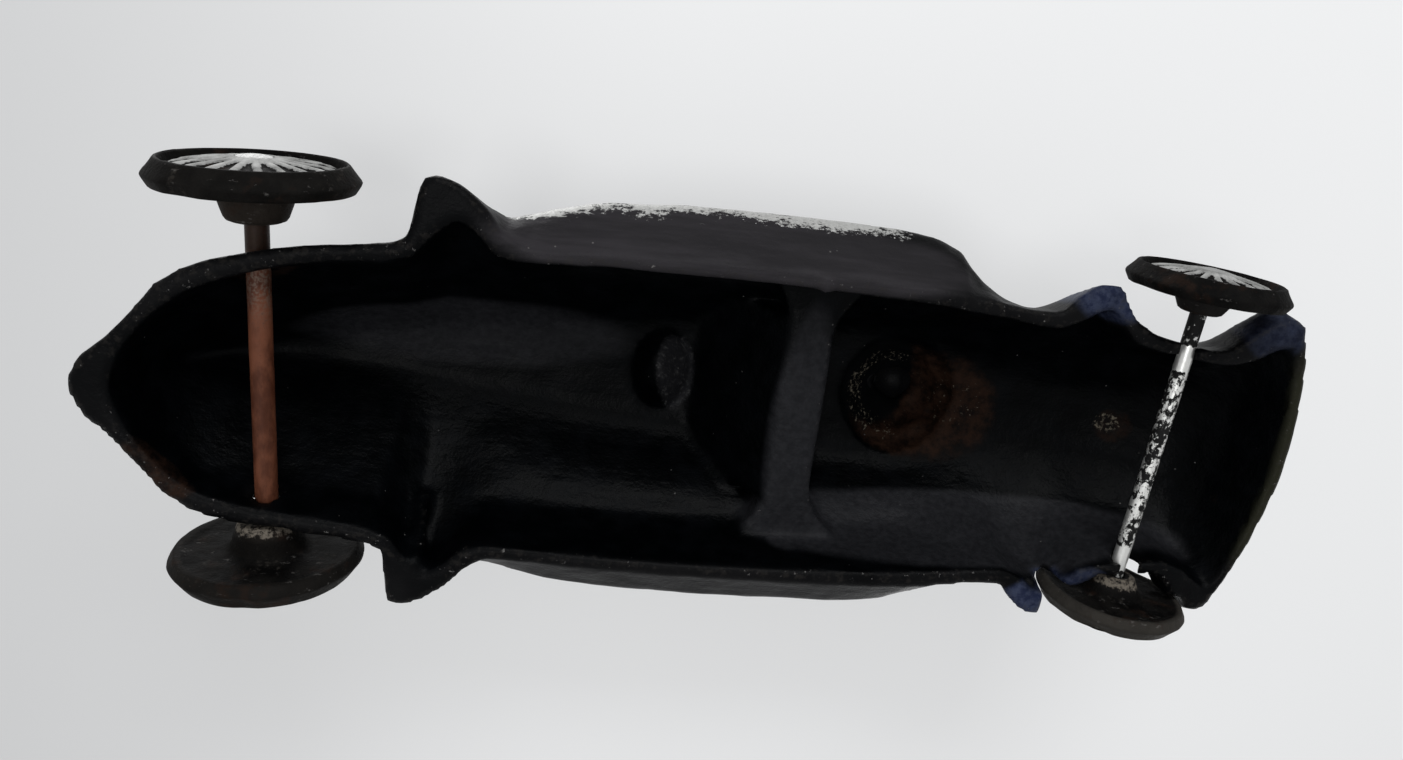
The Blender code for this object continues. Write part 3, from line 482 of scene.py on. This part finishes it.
    # pale crust on the lip of the figure's hollow and on the flash ahead of it
    lip_off = (((x - 33.5) ** 2 + (y - 0.7) ** 2) ** 0.5 - 6.6).absolute()
    lip = (1 - lip_off.between(0.8, 3.2)) * (1 - 0.35 * x.between(30.0, 39.0)) * z.between(28.0, 31.0)
    crust_noise = f.noise(0.65, 5.0, 0.75, (6, 3, 1))
    strewn = f.patch((42.0, 0.0, 33), (9.0, 7.0, 8)) * 0.2
    scab = f.patch((69.5, 0.4, 31), (3.2, 2.4, 8))
    crusted = (lip * (0.10 + 0.30 * blotch)).most(scab * 0.27).most(strewn) * inside
    crust = (crusted + crust_noise * 0.9).between(0.74, 0.81)
    colour = f.mix(crust * inside * 0.7, colour, CRUST)
    # silver paint left along the right fairing's outer edge
    along = x.between(-37.0, -31.0) * (1 - x.between(22.0, 38.0)) * (1 - y.between(-25.5, -24.0))
    band = z.between(12.4, 16.6) * (1 - z.between(16.8, 20.0))
    flakes = f.noise(0.9, 6.0, 0.8, (0, 0, 0), (0.7, 1.0, 1.3))
    crest = z.between(13.5, 15.6) * (1 - z.between(15.8, 17.6))
    kept = (band * 0.24 + crest * 0.06 + flakes + 0.6 * (streaks - 0.5)) * along
    silver = kept.between(0.665, 0.735) * (1 - inside)
    colour = f.mix(silver * 0.9, colour, f.mix(grain, *SILVER_PAINT))
    # an olive tint on the nose's thin rim, bare edges, small chips and pale specks
    olive = f.patch((89, 0, 10), (7, 27, 5)) * edge
    colour = f.mix(olive * 0.45, colour, OLIVE)
    bare = (edge * 0.42 + fine * 0.9).between(0.86, 1.0) * (1 - 0.6 * inside)
    colour = f.mix(bare * 0.35, colour, f.mix(blotch, *BARE_IRON))
    chips = (edge * 0.16 + f.noise(0.8, 5.0, 0.7, (3, 3, 3))).between(0.80, 0.84)
    colour = f.mix(chips * 0.6, colour, PALE_CHIP)
    dots = 1 - f.cells(2.4).between(0.03, 0.075)
    specks = dots * (f.noise(9.0, 2.0, 0.5, (7, 1, 3)) + 0.06 * thinned_and_lit_fairing).between(0.54, 0.64)
    colour = f.mix(specks * 0.6, colour, PALE_CHIP)
    rough = 0.42 + 0.22 * (blotch - 0.5) + 0.25 * rust + 0.45 * core * inside - 0.04 * inside
    rough = rough + 0.08 * (fine - 0.5)
    brushed = f.noise(1.3, 3.0, 0.5, (0, 0, 0), (0.18, 1.0, 1.0))
    height = blotch * 0.45 + fine * 0.3 + grain * 0.12 + brushed * 0.25
    normal = f.bump(height, 0.32)
    f.set(Base_Color=colour, Roughness=rough, Normal=normal, Metallic=silver * 0.25)
    f.set(Specular_IOR_Level=BODY_SHINE)
    return f


def wheel_finish(name, boss_tint, dust_right, dust_left):
    """Black enamel on a cast wheel, silver on the hub and spokes; a worn, dusty tread and a rubbed boss, with
    painted shade on the left wheel's boss.

    An axle's two wheels share it, and left is 1 on the left one.
    """
    f = Finish(name)
    spoke = f.attribute("spoke")
    tread = f.attribute("tread")
    boss = f.attribute("boss")
    blotch = f.noise(3.5, 4.0, 0.6)
    fine = f.noise(0.9, 4.0, 0.65)
    grain = f.noise(0.35, 2.0)
    colour = f.mix(blotch.between(0.35, 0.65), *WHEEL_BLACK)
    dusty = tread * (0.35 + 0.5 * blotch)
    left = f.axes()[1].between(-5.0, 5.0)
    colour = f.mix(dusty * (0.5 + 0.5 * left), colour, f.mix(left, dust_right, dust_left))
    rubbed = (boss * 0.75 + fine * 0.8).between(0.88, 1.15)
    # the left wheel's boss less rubbed: painted shade
    colour = f.mix(rubbed * (0.3 - 0.18 * left), colour, boss_tint)
    flecks = f.noise(0.8, 5.0, 0.75, (1, 9, 1))
    ring = (f.attribute("ring") * 0.5 + flecks).between(0.90, 1.06) * left
    colour = f.mix(ring * 0.85, colour, WHEEL_CRUST)
    crumbs = (flecks + 0.3 * (blotch - 0.5)).between(0.66, 0.74) * left
    colour = f.mix(crumbs * 0.6, colour, WHEEL_CRUMBS)
    rusty = f.noise(5.5, 4.0, 0.65, (8, 2, 4)).between(0.56, 0.70) * 0.5
    colour = f.mix(rusty, colour, WHEEL_RUST)
    chips = (fine * 0.8 + f.noise(5.0, 2.0) * 0.6).between(0.80, 0.95) * 0.5
    colour = f.mix(chips, colour, WHEEL_CHIPS)
    # the left wheel's boss darkened away from its ring: painted shade
    colour = f.mix(boss * left * (1 - f.attribute("ring")) * 0.75, colour, PAINTED_BOSS_SHADE)
    scratches = f.noise(1.2, 5.0, 0.7, (2, 2, 2), (0.5, 1.0, 1.0)).between(0.62, 0.69) * 0.5
    colour = f.mix(scratches, colour, WHEEL_SCRATCHES)
    paint = (spoke * 0.9 + (fine - 0.5) * 1.3 + (blotch - 0.5) * 0.7).between(0.38, 0.58)
    colour = f.mix(paint, colour, f.mix(blotch.between(0.3, 0.7), *WHEEL_SILVER))
    rough = 0.6 + 0.3 * (blotch - 0.5)
    normal = f.bump(blotch * 0.45 + fine * 0.4 + grain * 0.15, 0.42)
    f.set(Base_Color=colour, Roughness=rough, Normal=normal, Metallic=paint * 0.12)
    f.set(Specular_IOR_Level=WHEEL_SHINE)
    return f


def rusty_rod_finish():
    """Rusted rod, rubbed paler towards the right, with dark ends and silver paint on its heads."""
    f = Finish("rusty_rod")
    cap = f.attribute("cap")
    blotch = f.noise(2.6, 4.0, 0.6, (0, 0, 0), (1, 0.45, 1))
    fine = f.noise(0.5, 4.0, 0.65)
    colour = f.mix(blotch.between(0.35, 0.65), *ROD_RUST)
    colour = f.mix(fine.between(0.58, 0.75) * 0.6, colour, ROD_PITS)
    y = f.axes()[1]
    worn = (1 - y.between(-15.0, -7.0)) * fine.between(0.42, 0.6)
    colour = f.mix(worn * 0.6, colour, ROD_RUBBED)
    dark_end = (1 - y.between(-19.3, -18.0)).most(y.between(17.6, 18.6))
    colour = f.mix(dark_end * 0.88, colour, ROD_DARK_END)
    silver = (cap * 0.9 + (fine - 0.5) * 0.6).between(0.4, 0.6)
    colour = f.mix(silver, colour, f.mix(blotch, *ROD_HEAD_SILVER))
    rough = 0.5 + 0.3 * (fine - 0.5) - 0.08 * silver
    normal = f.bump(blotch * 0.3 + fine * 0.5, 0.14)
    f.set(Base_Color=colour, Roughness=rough, Normal=normal, Metallic=worn * 0.4 + silver * 0.12)
    f.set(Specular_IOR_Level=ROD_SHINE)
    return f


def bright_rod_finish():
    """Bare drawn steel with black specks of paint, clean where the walls have rubbed it."""
    f = Finish("bright_rod")
    cap = f.attribute("cap")
    y = f.axes()[1]
    fine = f.noise(0.75, 5.0, 0.7, (0, 0, 0), (1, 0.7, 1))
    blotch = f.noise(4.0, 2.0, 0.5, (3, 1, 0))
    clean = ((y - 16.6).absolute().least((y + 16.6).absolute())).between(2.2, 1.2)
    crowded = 0.03 * (1 - y.between(-8.0, 4.0)) + 0.1 * (1 - y.between(-21.0, -19.0))
    specks = (fine + 0.35 * (blotch - 0.5) - 0.6 * clean + crowded).between(0.462, 0.515)
    steel = f.mix(f.noise(0.6, 2.0), *STEEL)
    colour = f.mix(specks, steel, STEEL_SPECKS)
    silver = (cap * 0.9 + (fine - 0.5) * 0.6).between(0.4, 0.6)
    colour = f.mix(silver, colour, STEEL_HEAD_SILVER)
    rough = 0.34 + 0.35 * specks
    normal = f.bump(specks * 0.5 + fine * 0.3, 0.06)
    f.set(Base_Color=colour, Roughness=rough, Normal=normal, Metallic=(1 - specks) * 0.75)
    f.set(Specular_IOR_Level=ROD_SHINE)
    return f


# Wheels and rods


def spun(profile, steps):
    """A closed profile of (along, radius) in millimetres, spun once round Y."""
    bm = bmesh.new()
    corners = [bm.verts.new((0, along * MM, radius * MM)) for along, radius in profile]
    edges = [bm.edges.new((a, b)) for a, b in zip(corners, corners[1:])]
    if profile[0][1] > 0:
        edges.append(bm.edges.new((corners[-1], corners[0])))
    round_y = {"cent": (0, 0, 0), "axis": (0, 1, 0), "angle": 2 * math.pi}
    bmesh.ops.spin(bm, geom=corners + edges, steps=steps, use_merge=True, **round_y)
    bmesh.ops.remove_doubles(bm, verts=bm.verts, dist=1e-7)
    bmesh.ops.recalc_face_normals(bm, faces=bm.faces)
    return bm


def smooth_profile(points, step):
    """The profile with extra points, so that no stretch is longer than step."""
    out = []
    for (a0, r0), (a1, r1) in zip(points, points[1:]):
        pieces = max(1, math.ceil(math.hypot(a1 - a0, r1 - r0) / step))
        out += [(a0 + (a1 - a0) * k / pieces, r0 + (r1 - r0) * k / pieces) for k in range(pieces)]
    return out + [points[-1]]


def spoke_shape(angle, radius, wheel_radius):
    """How far a point of the wheel's face belongs to a painted spoke or the hub: 1 on top, 0 in between."""
    hub = 0.27 * wheel_radius
    end = 0.79 * wheel_radius
    turn = angle * SPOKES / (2 * math.pi)
    off = abs(turn - round(turn)) * 2 * math.pi / SPOKES * radius
    half = 0.034 * wheel_radius * (1.0 + 0.3 * max(0.0, (radius - hub) / (end - hub)))
    across = min(max((half - off) / (0.03 * wheel_radius) + 0.6, 0.0), 1.0)
    core = min(max((hub + 0.06 * wheel_radius - radius) / (0.08 * wheel_radius), 0.0), 1.0)
    out = min(max((end - radius) / (0.03 * wheel_radius), 0.0), 1.0)
    return max(across * out, core)


def wheel(name, axle, sizes, side, finish):
    """A cast wheel, its boss inboard and its spoked face outboard; side is 1 on the left, -1 on the right."""
    tread, radius = axle["tread"], sizes["radius"]
    inner, outer = -0.38 * tread, 0.62 * tread
    bore = axle["rod"] + BORE_PLAY
    boss, boss_radius = inner - sizes["boss_length"], sizes["boss_radius"]
    rim_inside = 0.865 * radius - 0.5
    well = axle["rod"] + HEAD_EXTRA + HEAD_ROOM
    sunk = outer - 1.05  # the dished face's lowest ring

    def face_at(r):
        return sunk + 1.3 * (1 - (r / (0.8 * radius)) ** 2) ** 0.75 + 0.5 * max(0.0, 1 - r / 4.2)

    face = [(face_at(r), r) for r in (0.8 * radius * (1 - k / 24.0) for k in range(1, 24)) if r > well + 0.2]
    outline = [
        (outer + 0.02, bore), (boss + 0.15, bore), (boss, bore + 0.25), (boss, boss_radius * 0.60),
        (boss + 0.25, boss_radius * 0.71), (boss + 0.7, boss_radius * 0.77),
        (inner - 0.35, boss_radius * 0.98), (inner + 0.15, boss_radius + 0.75),
        (inner + 0.30, boss_radius + 2.0), (inner + 0.30, 0.80 * radius),
        (inner + 0.10, 0.855 * radius), (inner, 0.90 * radius), (inner + 0.05, 0.94 * radius),
        (-0.25, 0.992 * radius), (0.0, radius - 0.02), (0.25, 0.992 * radius),
        (outer - 0.45, 0.905 * radius), (outer - 0.12, 0.887 * radius), (outer, 0.87 * radius),
        (outer - 0.08, 0.855 * radius), (outer - 0.65, rim_inside), (sunk, rim_inside - 0.25),
    ]
    outline = smooth_profile(outline + face + [(face_at(well), well), (outer + 0.02, well)], 0.55)
    bm = spun(outline, SPOKES * SEGMENTS_PER_SPOKE)
    layers = {key: bm.verts.layers.float.new(key) for key in ("spoke", "tread", "boss", "ring")}
    seed = axle["x"] + 7.0 * side
    for vert in bm.verts:
        along = vert.co.y / MM
        away = math.hypot(vert.co.x, vert.co.z) / MM
        angle = math.atan2(vert.co.x, vert.co.z)
        push = 0.09 * relief(vert.co, 4.0, seed) + 0.05 * relief(vert.co, 1.6, seed)
        if along > outer - 1.3 and away < rim_inside + 0.1:
            on = spoke_shape(angle + 0.02 * relief(vert.co, 3.0, seed), away, radius)
            vert[layers["spoke"]] = on
            if away > well + 0.1:
                vert.co.y += (0.45 * on - 0.42 + 0.4 * push) * MM
        elif away > 0.86 * radius:
            vert[layers["tread"]] = 1.0
            dent = max(0.0, relief(vert.co, 5.5, 2.0 * seed) - 0.25) * 1.1
            share = (away - dent + push) / away
            vert.co.x *= share
            vert.co.z *= share
        elif along < inner - 0.3:
            vert[layers["boss"]] = 1.0
            off_bore = 0.0 if away < bore + 0.4 else 1.0
            vert[layers["ring"]] = (1 - smooth(along, boss + 1.0, boss + 2.2)) * off_bore
            if away > bore + 0.3:
                share = (away + 0.8 * push) / away
                vert.co.x *= share
                vert.co.z *= share
        else:
            vert.co.y += 2.2 * push * MM
    if side < 0:
        bmesh.ops.transform(bm, matrix=Matrix.Diagonal((1, -1, 1, 1)), verts=bm.verts)
        bmesh.ops.recalc_face_normals(bm, faces=bm.faces)
    shift = Matrix.Translation((0, (side * axle["track"] / 2 - axle["slip"]) * MM, 0))
    bmesh.ops.transform(bm, matrix=axle_frame(axle) @ shift, verts=bm.verts)
    finished(bm, name + "_casting", name, "wheel_enamel", finish, name)


def rod(name, axle, slot, finish):
    """A drawn rod, its ends hammered over into low domes."""
    seat = axle["track"] / 2 + 0.62 * axle["tread"] + 0.08
    thick = axle["rod"]
    head = thick + HEAD_EXTRA
    edge, rise = seat + 0.28, 0.34
    dome = [(edge + rise * (1 - share**2), head * share) for share in (0.97, 0.9, 0.78, 0.6, 0.4, 0.2)]
    end = [(seat, thick), (seat, head), (edge, head)] + dome + [(edge + rise, 0.0)]
    half = smooth_profile([(0.0, thick)] + end, 1.1)
    outline = [(-along, radius) for along, radius in reversed(half[1:])] + half
    bm = spun(outline, 32)
    layer = bm.verts.layers.float.new("cap")
    for vert in bm.verts:
        along = abs(vert.co.y) / MM
        away = math.hypot(vert.co.x, vert.co.z) / MM
        if along > seat - 0.05:
            vert[layer] = 1.0
            dent = math.copysign(0.06 * relief(vert.co, 1.5, 2.0), vert.co.y)
            vert.co.y += dent * MM * (away / head)
        elif along < 17.0:
            share = 1 + 0.02 * relief(vert.co, 2.5, 4.0)
            vert.co.x *= share
            vert.co.z *= share
    shift = Matrix.Translation((0, -axle["slip"] * MM, 0))
    bmesh.ops.transform(bm, matrix=axle_frame(axle) @ shift, verts=bm.verts)
    finished(bm, name + "_rod", name, slot, finish, name)


# The cast driver


def head_relief(way):
    """Millimetres that a plain head, in a close cap and goggles, stands out from an egg shape."""
    side, up = way.y, way.z
    front = smooth(way.x, 0.0, 0.3)
    face = front * (1 - smooth(up, 0.33, 0.39)) * (1 - smooth(abs(side), 0.66, 0.72))
    push = 0.34 * (1 - face)
    hem_above = hump(up, 0.37, 0.05) * (1 - smooth(abs(side), 0.6, 0.7))
    hem_beside = hump(abs(side), 0.70, 0.05) * (1 - smooth(up, 0.3, 0.4))
    push += 0.2 * front * (hem_above + hem_beside)
    push += 0.35 * hump(way.x, 0.0, 0.2) * hump(up, -0.05, 0.24) * smooth(abs(side), 0.7, 0.95)
    push += 0.16 * hump(side, 0.0, 0.05) * smooth(up, 0.36, 0.5)
    off = math.hypot((abs(side) - 0.36) / 0.27, (up - 0.14) / 0.23)
    lens = front * (1 - smooth(off, 0.92, 1.1))
    strap = hump(up, 0.14, 0.075) * (1 - lens)
    push = push * (1 - lens) + lens * (0.42 + 0.25 * hump(off, 0.9, 0.12)) + 0.22 * strap
    nose = 0.95 * hump(side, 0.0, 0.115) * hump(up, -0.13, 0.15)
    nose += 0.25 * hump(abs(side), 0.1, 0.06) * hump(up, -0.2, 0.06)
    lips = 0.2 * hump(side, 0.0, 0.2) * (hump(up, -0.39, 0.035) + hump(up, -0.5, 0.05))
    lips -= 0.16 * hump(up, -0.44, 0.025) * hump(side, 0.0, 0.24)
    chin = 0.4 * hump(up, -0.72, 0.13) * hump(side, 0.0, 0.26)
    cheeks = 0.2 * hump(abs(side), 0.44, 0.14) * hump(up, -0.24, 0.16)
    return push + front * (nose + lips + chin + cheeks)


def driver_head(enamel):
    """The head, an egg shape carved by head_relief."""
    bm = bmesh.new()
    bmesh.ops.create_uvsphere(bm, u_segments=112, v_segments=72, radius=1.0)
    layer = bm.verts.layers.float.new("edge")
    for vert in bm.verts:
        way = vert.co.normalized()
        push = head_relief(way)
        vert[layer] = min(max((push - 0.5) * 1.6, 0.0), 1.0)
        jaw = 1 - 0.18 * smooth(-way.z, 0.0, 0.9)
        egg = Vector((HEAD_RADII[0] * way.x * jaw, HEAD_RADII[1] * way.y * jaw, HEAD_RADII[2] * way.z))
        vert.co = (Vector(HEAD_CENTRE) + egg + way * push) * MM
    finished(bm, "driver_head", "body", "body_enamel", enamel)


def ring_profile(radius, half_width, half_height):
    """The twelve-sided outline of a ring that goes round Y, in millimetres."""
    turns = [math.pi * k / 6 for k in range(12)]
    return [(half_width * math.cos(a), radius + half_height * math.sin(a)) for a in turns]


def driver_scarf(enamel):
    """The folded scarf round the neck."""
    bm = spun(ring_profile(4.5, 0.95, 1.05), 96)
    for vert in bm.verts:
        angle = math.atan2(vert.co.x, vert.co.z)
        vert.co *= 1 + 0.035 * math.sin(11 * angle + 900 * vert.co.y) + 0.05 * relief(vert.co, 2.0, 8.0)
    place = Matrix.Translation(Vector(SCARF_CENTRE) * MM) @ Matrix.Rotation(math.radians(90), 4, "X")
    tilt = Matrix.Rotation(math.radians(8), 4, "Z")
    bmesh.ops.transform(bm, matrix=place @ tilt, verts=bm.verts)
    finished(bm, "driver_scarf", "body", "body_enamel", enamel)


def steering_wheel(enamel):
    """The rim, four spokes and hub, with the driver's two gloves on the rim."""
    bm = spun(ring_profile(4.8, 1.0, 1.0), 72)
    profile = [(-0.7, 0.0), (-0.7, 1.2), (-0.3, 1.6), (0.7, 1.6), (1.1, 1.1), (1.2, 0.0)]
    hub = spun(smooth_profile(profile, 0.4), 32)
    copy = bpy.data.meshes.new("hub")
    hub.to_mesh(copy)
    hub.free()
    bm.from_mesh(copy)
    bpy.data.meshes.remove(copy)
    spoke = {"segments": 16, "radius1": 0.62 * MM, "radius2": 0.55 * MM, "depth": 4.4 * MM}
    for k in range(4):
        turn = Matrix.Rotation(math.radians(45 + 90 * k), 4, "Y") @ Matrix.Translation((0, 0, 2.8 * MM))
        bmesh.ops.create_cone(bm, matrix=turn, **spoke)
    place = Matrix.Translation(Vector(STEERING_CENTRE) * MM) @ Matrix.Rotation(-STEERING_LEAN, 4, "Y")
    bmesh.ops.transform(bm, matrix=place @ Matrix.Rotation(math.radians(90), 4, "Z"), verts=bm.verts)
    for side in (-1, 1):
        made = bmesh.ops.create_icosphere(bm, subdivisions=4, radius=1.0)["verts"]
        for vert in made:
            fingers = 0.1 * math.sin(7.5 * vert.co.z) * smooth(vert.co.x, -0.3, 0.5)
            vert.co = vert.co * (1 + fingers)
            vert.co = Vector((vert.co.x * 1.75, vert.co.y * 1.5, vert.co.z * 2.0)) * MM
        move = Vector((STEERING_CENTRE[0] - 0.5, side * 4.5, STEERING_CENTRE[2] + 0.6)) * MM
        bmesh.ops.translate(bm, vec=move, verts=made)
    layer = bm.verts.layers.float.new("edge")
    for vert in bm.verts:
        vert[layer] = 0.45
        vert.co.z = max(vert.co.z, DASH_HEIGHT * MM)
    finished(bm, "steering_wheel", "body", "body_enamel", enamel)


# The table, the lamps and the camera


def one_sided(name, colour, painted_shade_share=0.0):
    """A pale matte sheet that is seen from its front only and fades out at its edges.

    painted_shade_share is how far painted shade darkens it towards its left end.
    """
    f = Finish(name)
    diffuse = f.node("ShaderNodeBsdfDiffuse", {}, {"Color": (*colour, 1.0)}, "BSDF")
    clear = f.node("ShaderNodeBsdfTransparent", {}, {}, "BSDF")
    back = f.node("ShaderNodeNewGeometry", {}, {}, "Backfacing")
    split = f.node("ShaderNodeSeparateXYZ", {}, [f.node("ShaderNodeTexCoord", {}, {}, "UV")])
    across = [(Wire(f, split.socket.node.outputs[k]) - 0.5).absolute() for k in (0, 1)]
    faded = across[0].most(across[1]).between(0.46, 0.5)
    glow = f.node("ShaderNodeEmission", {}, {"Color": (*colour, 1.0), "Strength": 1.0}, "Emission")
    pale = f.node("ShaderNodeMixShader", {}, [PALE_SHARE, diffuse, glow], "Shader")
    # a dimmer glow towards the left end: painted shade
    painted_shade_glow = f.node("ShaderNodeEmission", {}, {"Color": (*PAINTED_SHADE_GLOW, 1.0), "Strength": 0.3}, "Emission")
    left = 1 - Wire(f, split.socket.node.outputs[0]).between(-0.016, 0.433)
    pale = f.node("ShaderNodeMixShader", {}, [left * painted_shade_share, pale, painted_shade_glow], "Shader")
    both = f.node("ShaderNodeMixShader", {}, [back.most(faded), pale, clear], "Shader")
    f.tree.nodes.remove(f.shader)
    out = next(n for n in f.tree.nodes if n.type == "OUTPUT_MATERIAL")
    f.tree.links.new(both.socket, out.inputs["Surface"])
    return f


def sheet(name, centre, turn, size, finish):
    """A flat piece of the stage that only the camera sees."""
    bm = bmesh.new()
    bm.loops.layers.uv.new("UVMap")
    bmesh.ops.create_grid(bm, x_segments=1, y_segments=1, size=0.5, calc_uvs=True)
    place = Matrix.Translation(Vector(centre)) @ turn.to_4x4() @ Matrix.Diagonal((size[0], size[1], 1, 1))
    bmesh.ops.transform(bm, matrix=place, verts=bm.verts)
    mesh = bpy.data.meshes.new(name)
    bm.to_mesh(mesh)
    bm.free()
    mesh.materials.append(finish.material)
    made = bpy.data.objects.new(name, mesh)
    bpy.context.scene.collection.objects.link(made)
    for ray in ("diffuse", "glossy", "transmission", "shadow", "volume_scatter"):
        setattr(made, "visible_" + ray, False)


def lamp(name, place, size, watts, colour=(1, 1, 1)):
    """A rectangular lamp that points at the toy."""
    light = bpy.data.lights.new(name, "AREA")
    light.shape = "RECTANGLE"
    light.size, light.size_y = size
    light.energy = watts
    light.color = colour
    made = bpy.data.objects.new(name, light)
    made.location = place
    made.rotation_euler = (AIM - Vector(place)).to_track_quat("-Z", "Y").to_euler()
    bpy.context.scene.collection.objects.link(made)


def camera():
    data = bpy.data.cameras.new("camera")
    data.sensor_width = SENSOR
    data.lens = LENS
    data.clip_start = 0.005
    made = bpy.data.objects.new("camera", data)
    made.matrix_world = Matrix.Translation(EYE) @ Matrix((RIGHT, -DOWN, -AHEAD)).transposed().to_4x4()
    bpy.context.scene.collection.objects.link(made)
    bpy.context.scene.camera = made


def stage():
    """The pale room, the floor, the lamps and the table that the overturned toy lies on."""
    scene = bpy.context.scene
    scene.view_settings.view_transform = "Standard"
    world = bpy.data.worlds.new("pale room")
    world.use_nodes = True
    background = world.node_tree.nodes["Background"]
    background.inputs["Color"].default_value = (*DAYLIGHT, 1.0)
    nodes, links = world.node_tree.nodes, world.node_tree.links
    path = nodes.new("ShaderNodeLightPath")
    seen = path.outputs["Is Camera Ray"]
    for ray in ("Is Glossy Ray", "Is Transmission Ray"):
        either = nodes.new("ShaderNodeMath")
        either.operation = "MAXIMUM"
        links.new(seen, either.inputs[0])
        links.new(path.outputs[ray], either.inputs[1])
        seen = either.outputs[0]
    strength = nodes.new("ShaderNodeMapRange")
    strength.inputs["To Min"].default_value = ROOM_LIGHT
    strength.inputs["To Max"].default_value = ROOM_SEEN
    links.new(seen, strength.inputs["Value"])
    links.new(strength.outputs[0], background.inputs["Strength"])
    scene.world = world
    level = Matrix.Identity(3)
    facing_down = Matrix.Rotation(math.pi, 3, "X")
    sheet("floor", (0, 0, 0), level, FLOOR_SIZE, one_sided("pale_floor", FLOOR_WHITE))
    pale_table = one_sided("pale_table", TABLE_WHITE, TABLE_PAINTED_SHADE)
    sheet("table", TABLE_CENTRE, facing_down, TABLE_SIZE, pale_table)
    lamp("window_below", BELOW, (0.36, 0.2), 1.85, DAYLIGHT)
    lamp("ceiling_lamp", CEILING, (0.2, 0.2), 1.0)
    lamp("window_above", (-0.25, -0.45, 0.6), (0.5, 0.5), 2.9)
    lamp("fill_above", (0.5, 0.45, 0.5), (0.6, 0.6), 1.6)


def main():
    body = skinned("body_casting", "cast_body", GRAIN)
    places, normals = mark_wear(body, GRAIN)
    roughen(body, places, normals)
    enamel = body_finish()
    dressed(body, "body", "body_enamel", enamel, "body_casting")
    driver_head(enamel)
    driver_scarf(enamel)
    steering_wheel(enamel)
    rear = wheel_finish("rear_wheel_enamel", *REAR_WHEEL_TINTS)
    front = wheel_finish("front_wheel_enamel", *FRONT_WHEEL_TINTS)
    for label, side in (("left", 1), ("right", -1)):
        wheel("wheel_rear_" + label, REAR_AXLE, REAR_WHEEL, side, rear)
        wheel("wheel_front_" + label, FRONT_AXLE, FRONT_WHEEL, side, front)
    rod("rear_axle", REAR_AXLE, "rear_rod_steel", rusty_rod_finish())
    rod("front_axle", FRONT_AXLE, "front_rod_steel", bright_rod_finish())
    camera()
    stage()


main()
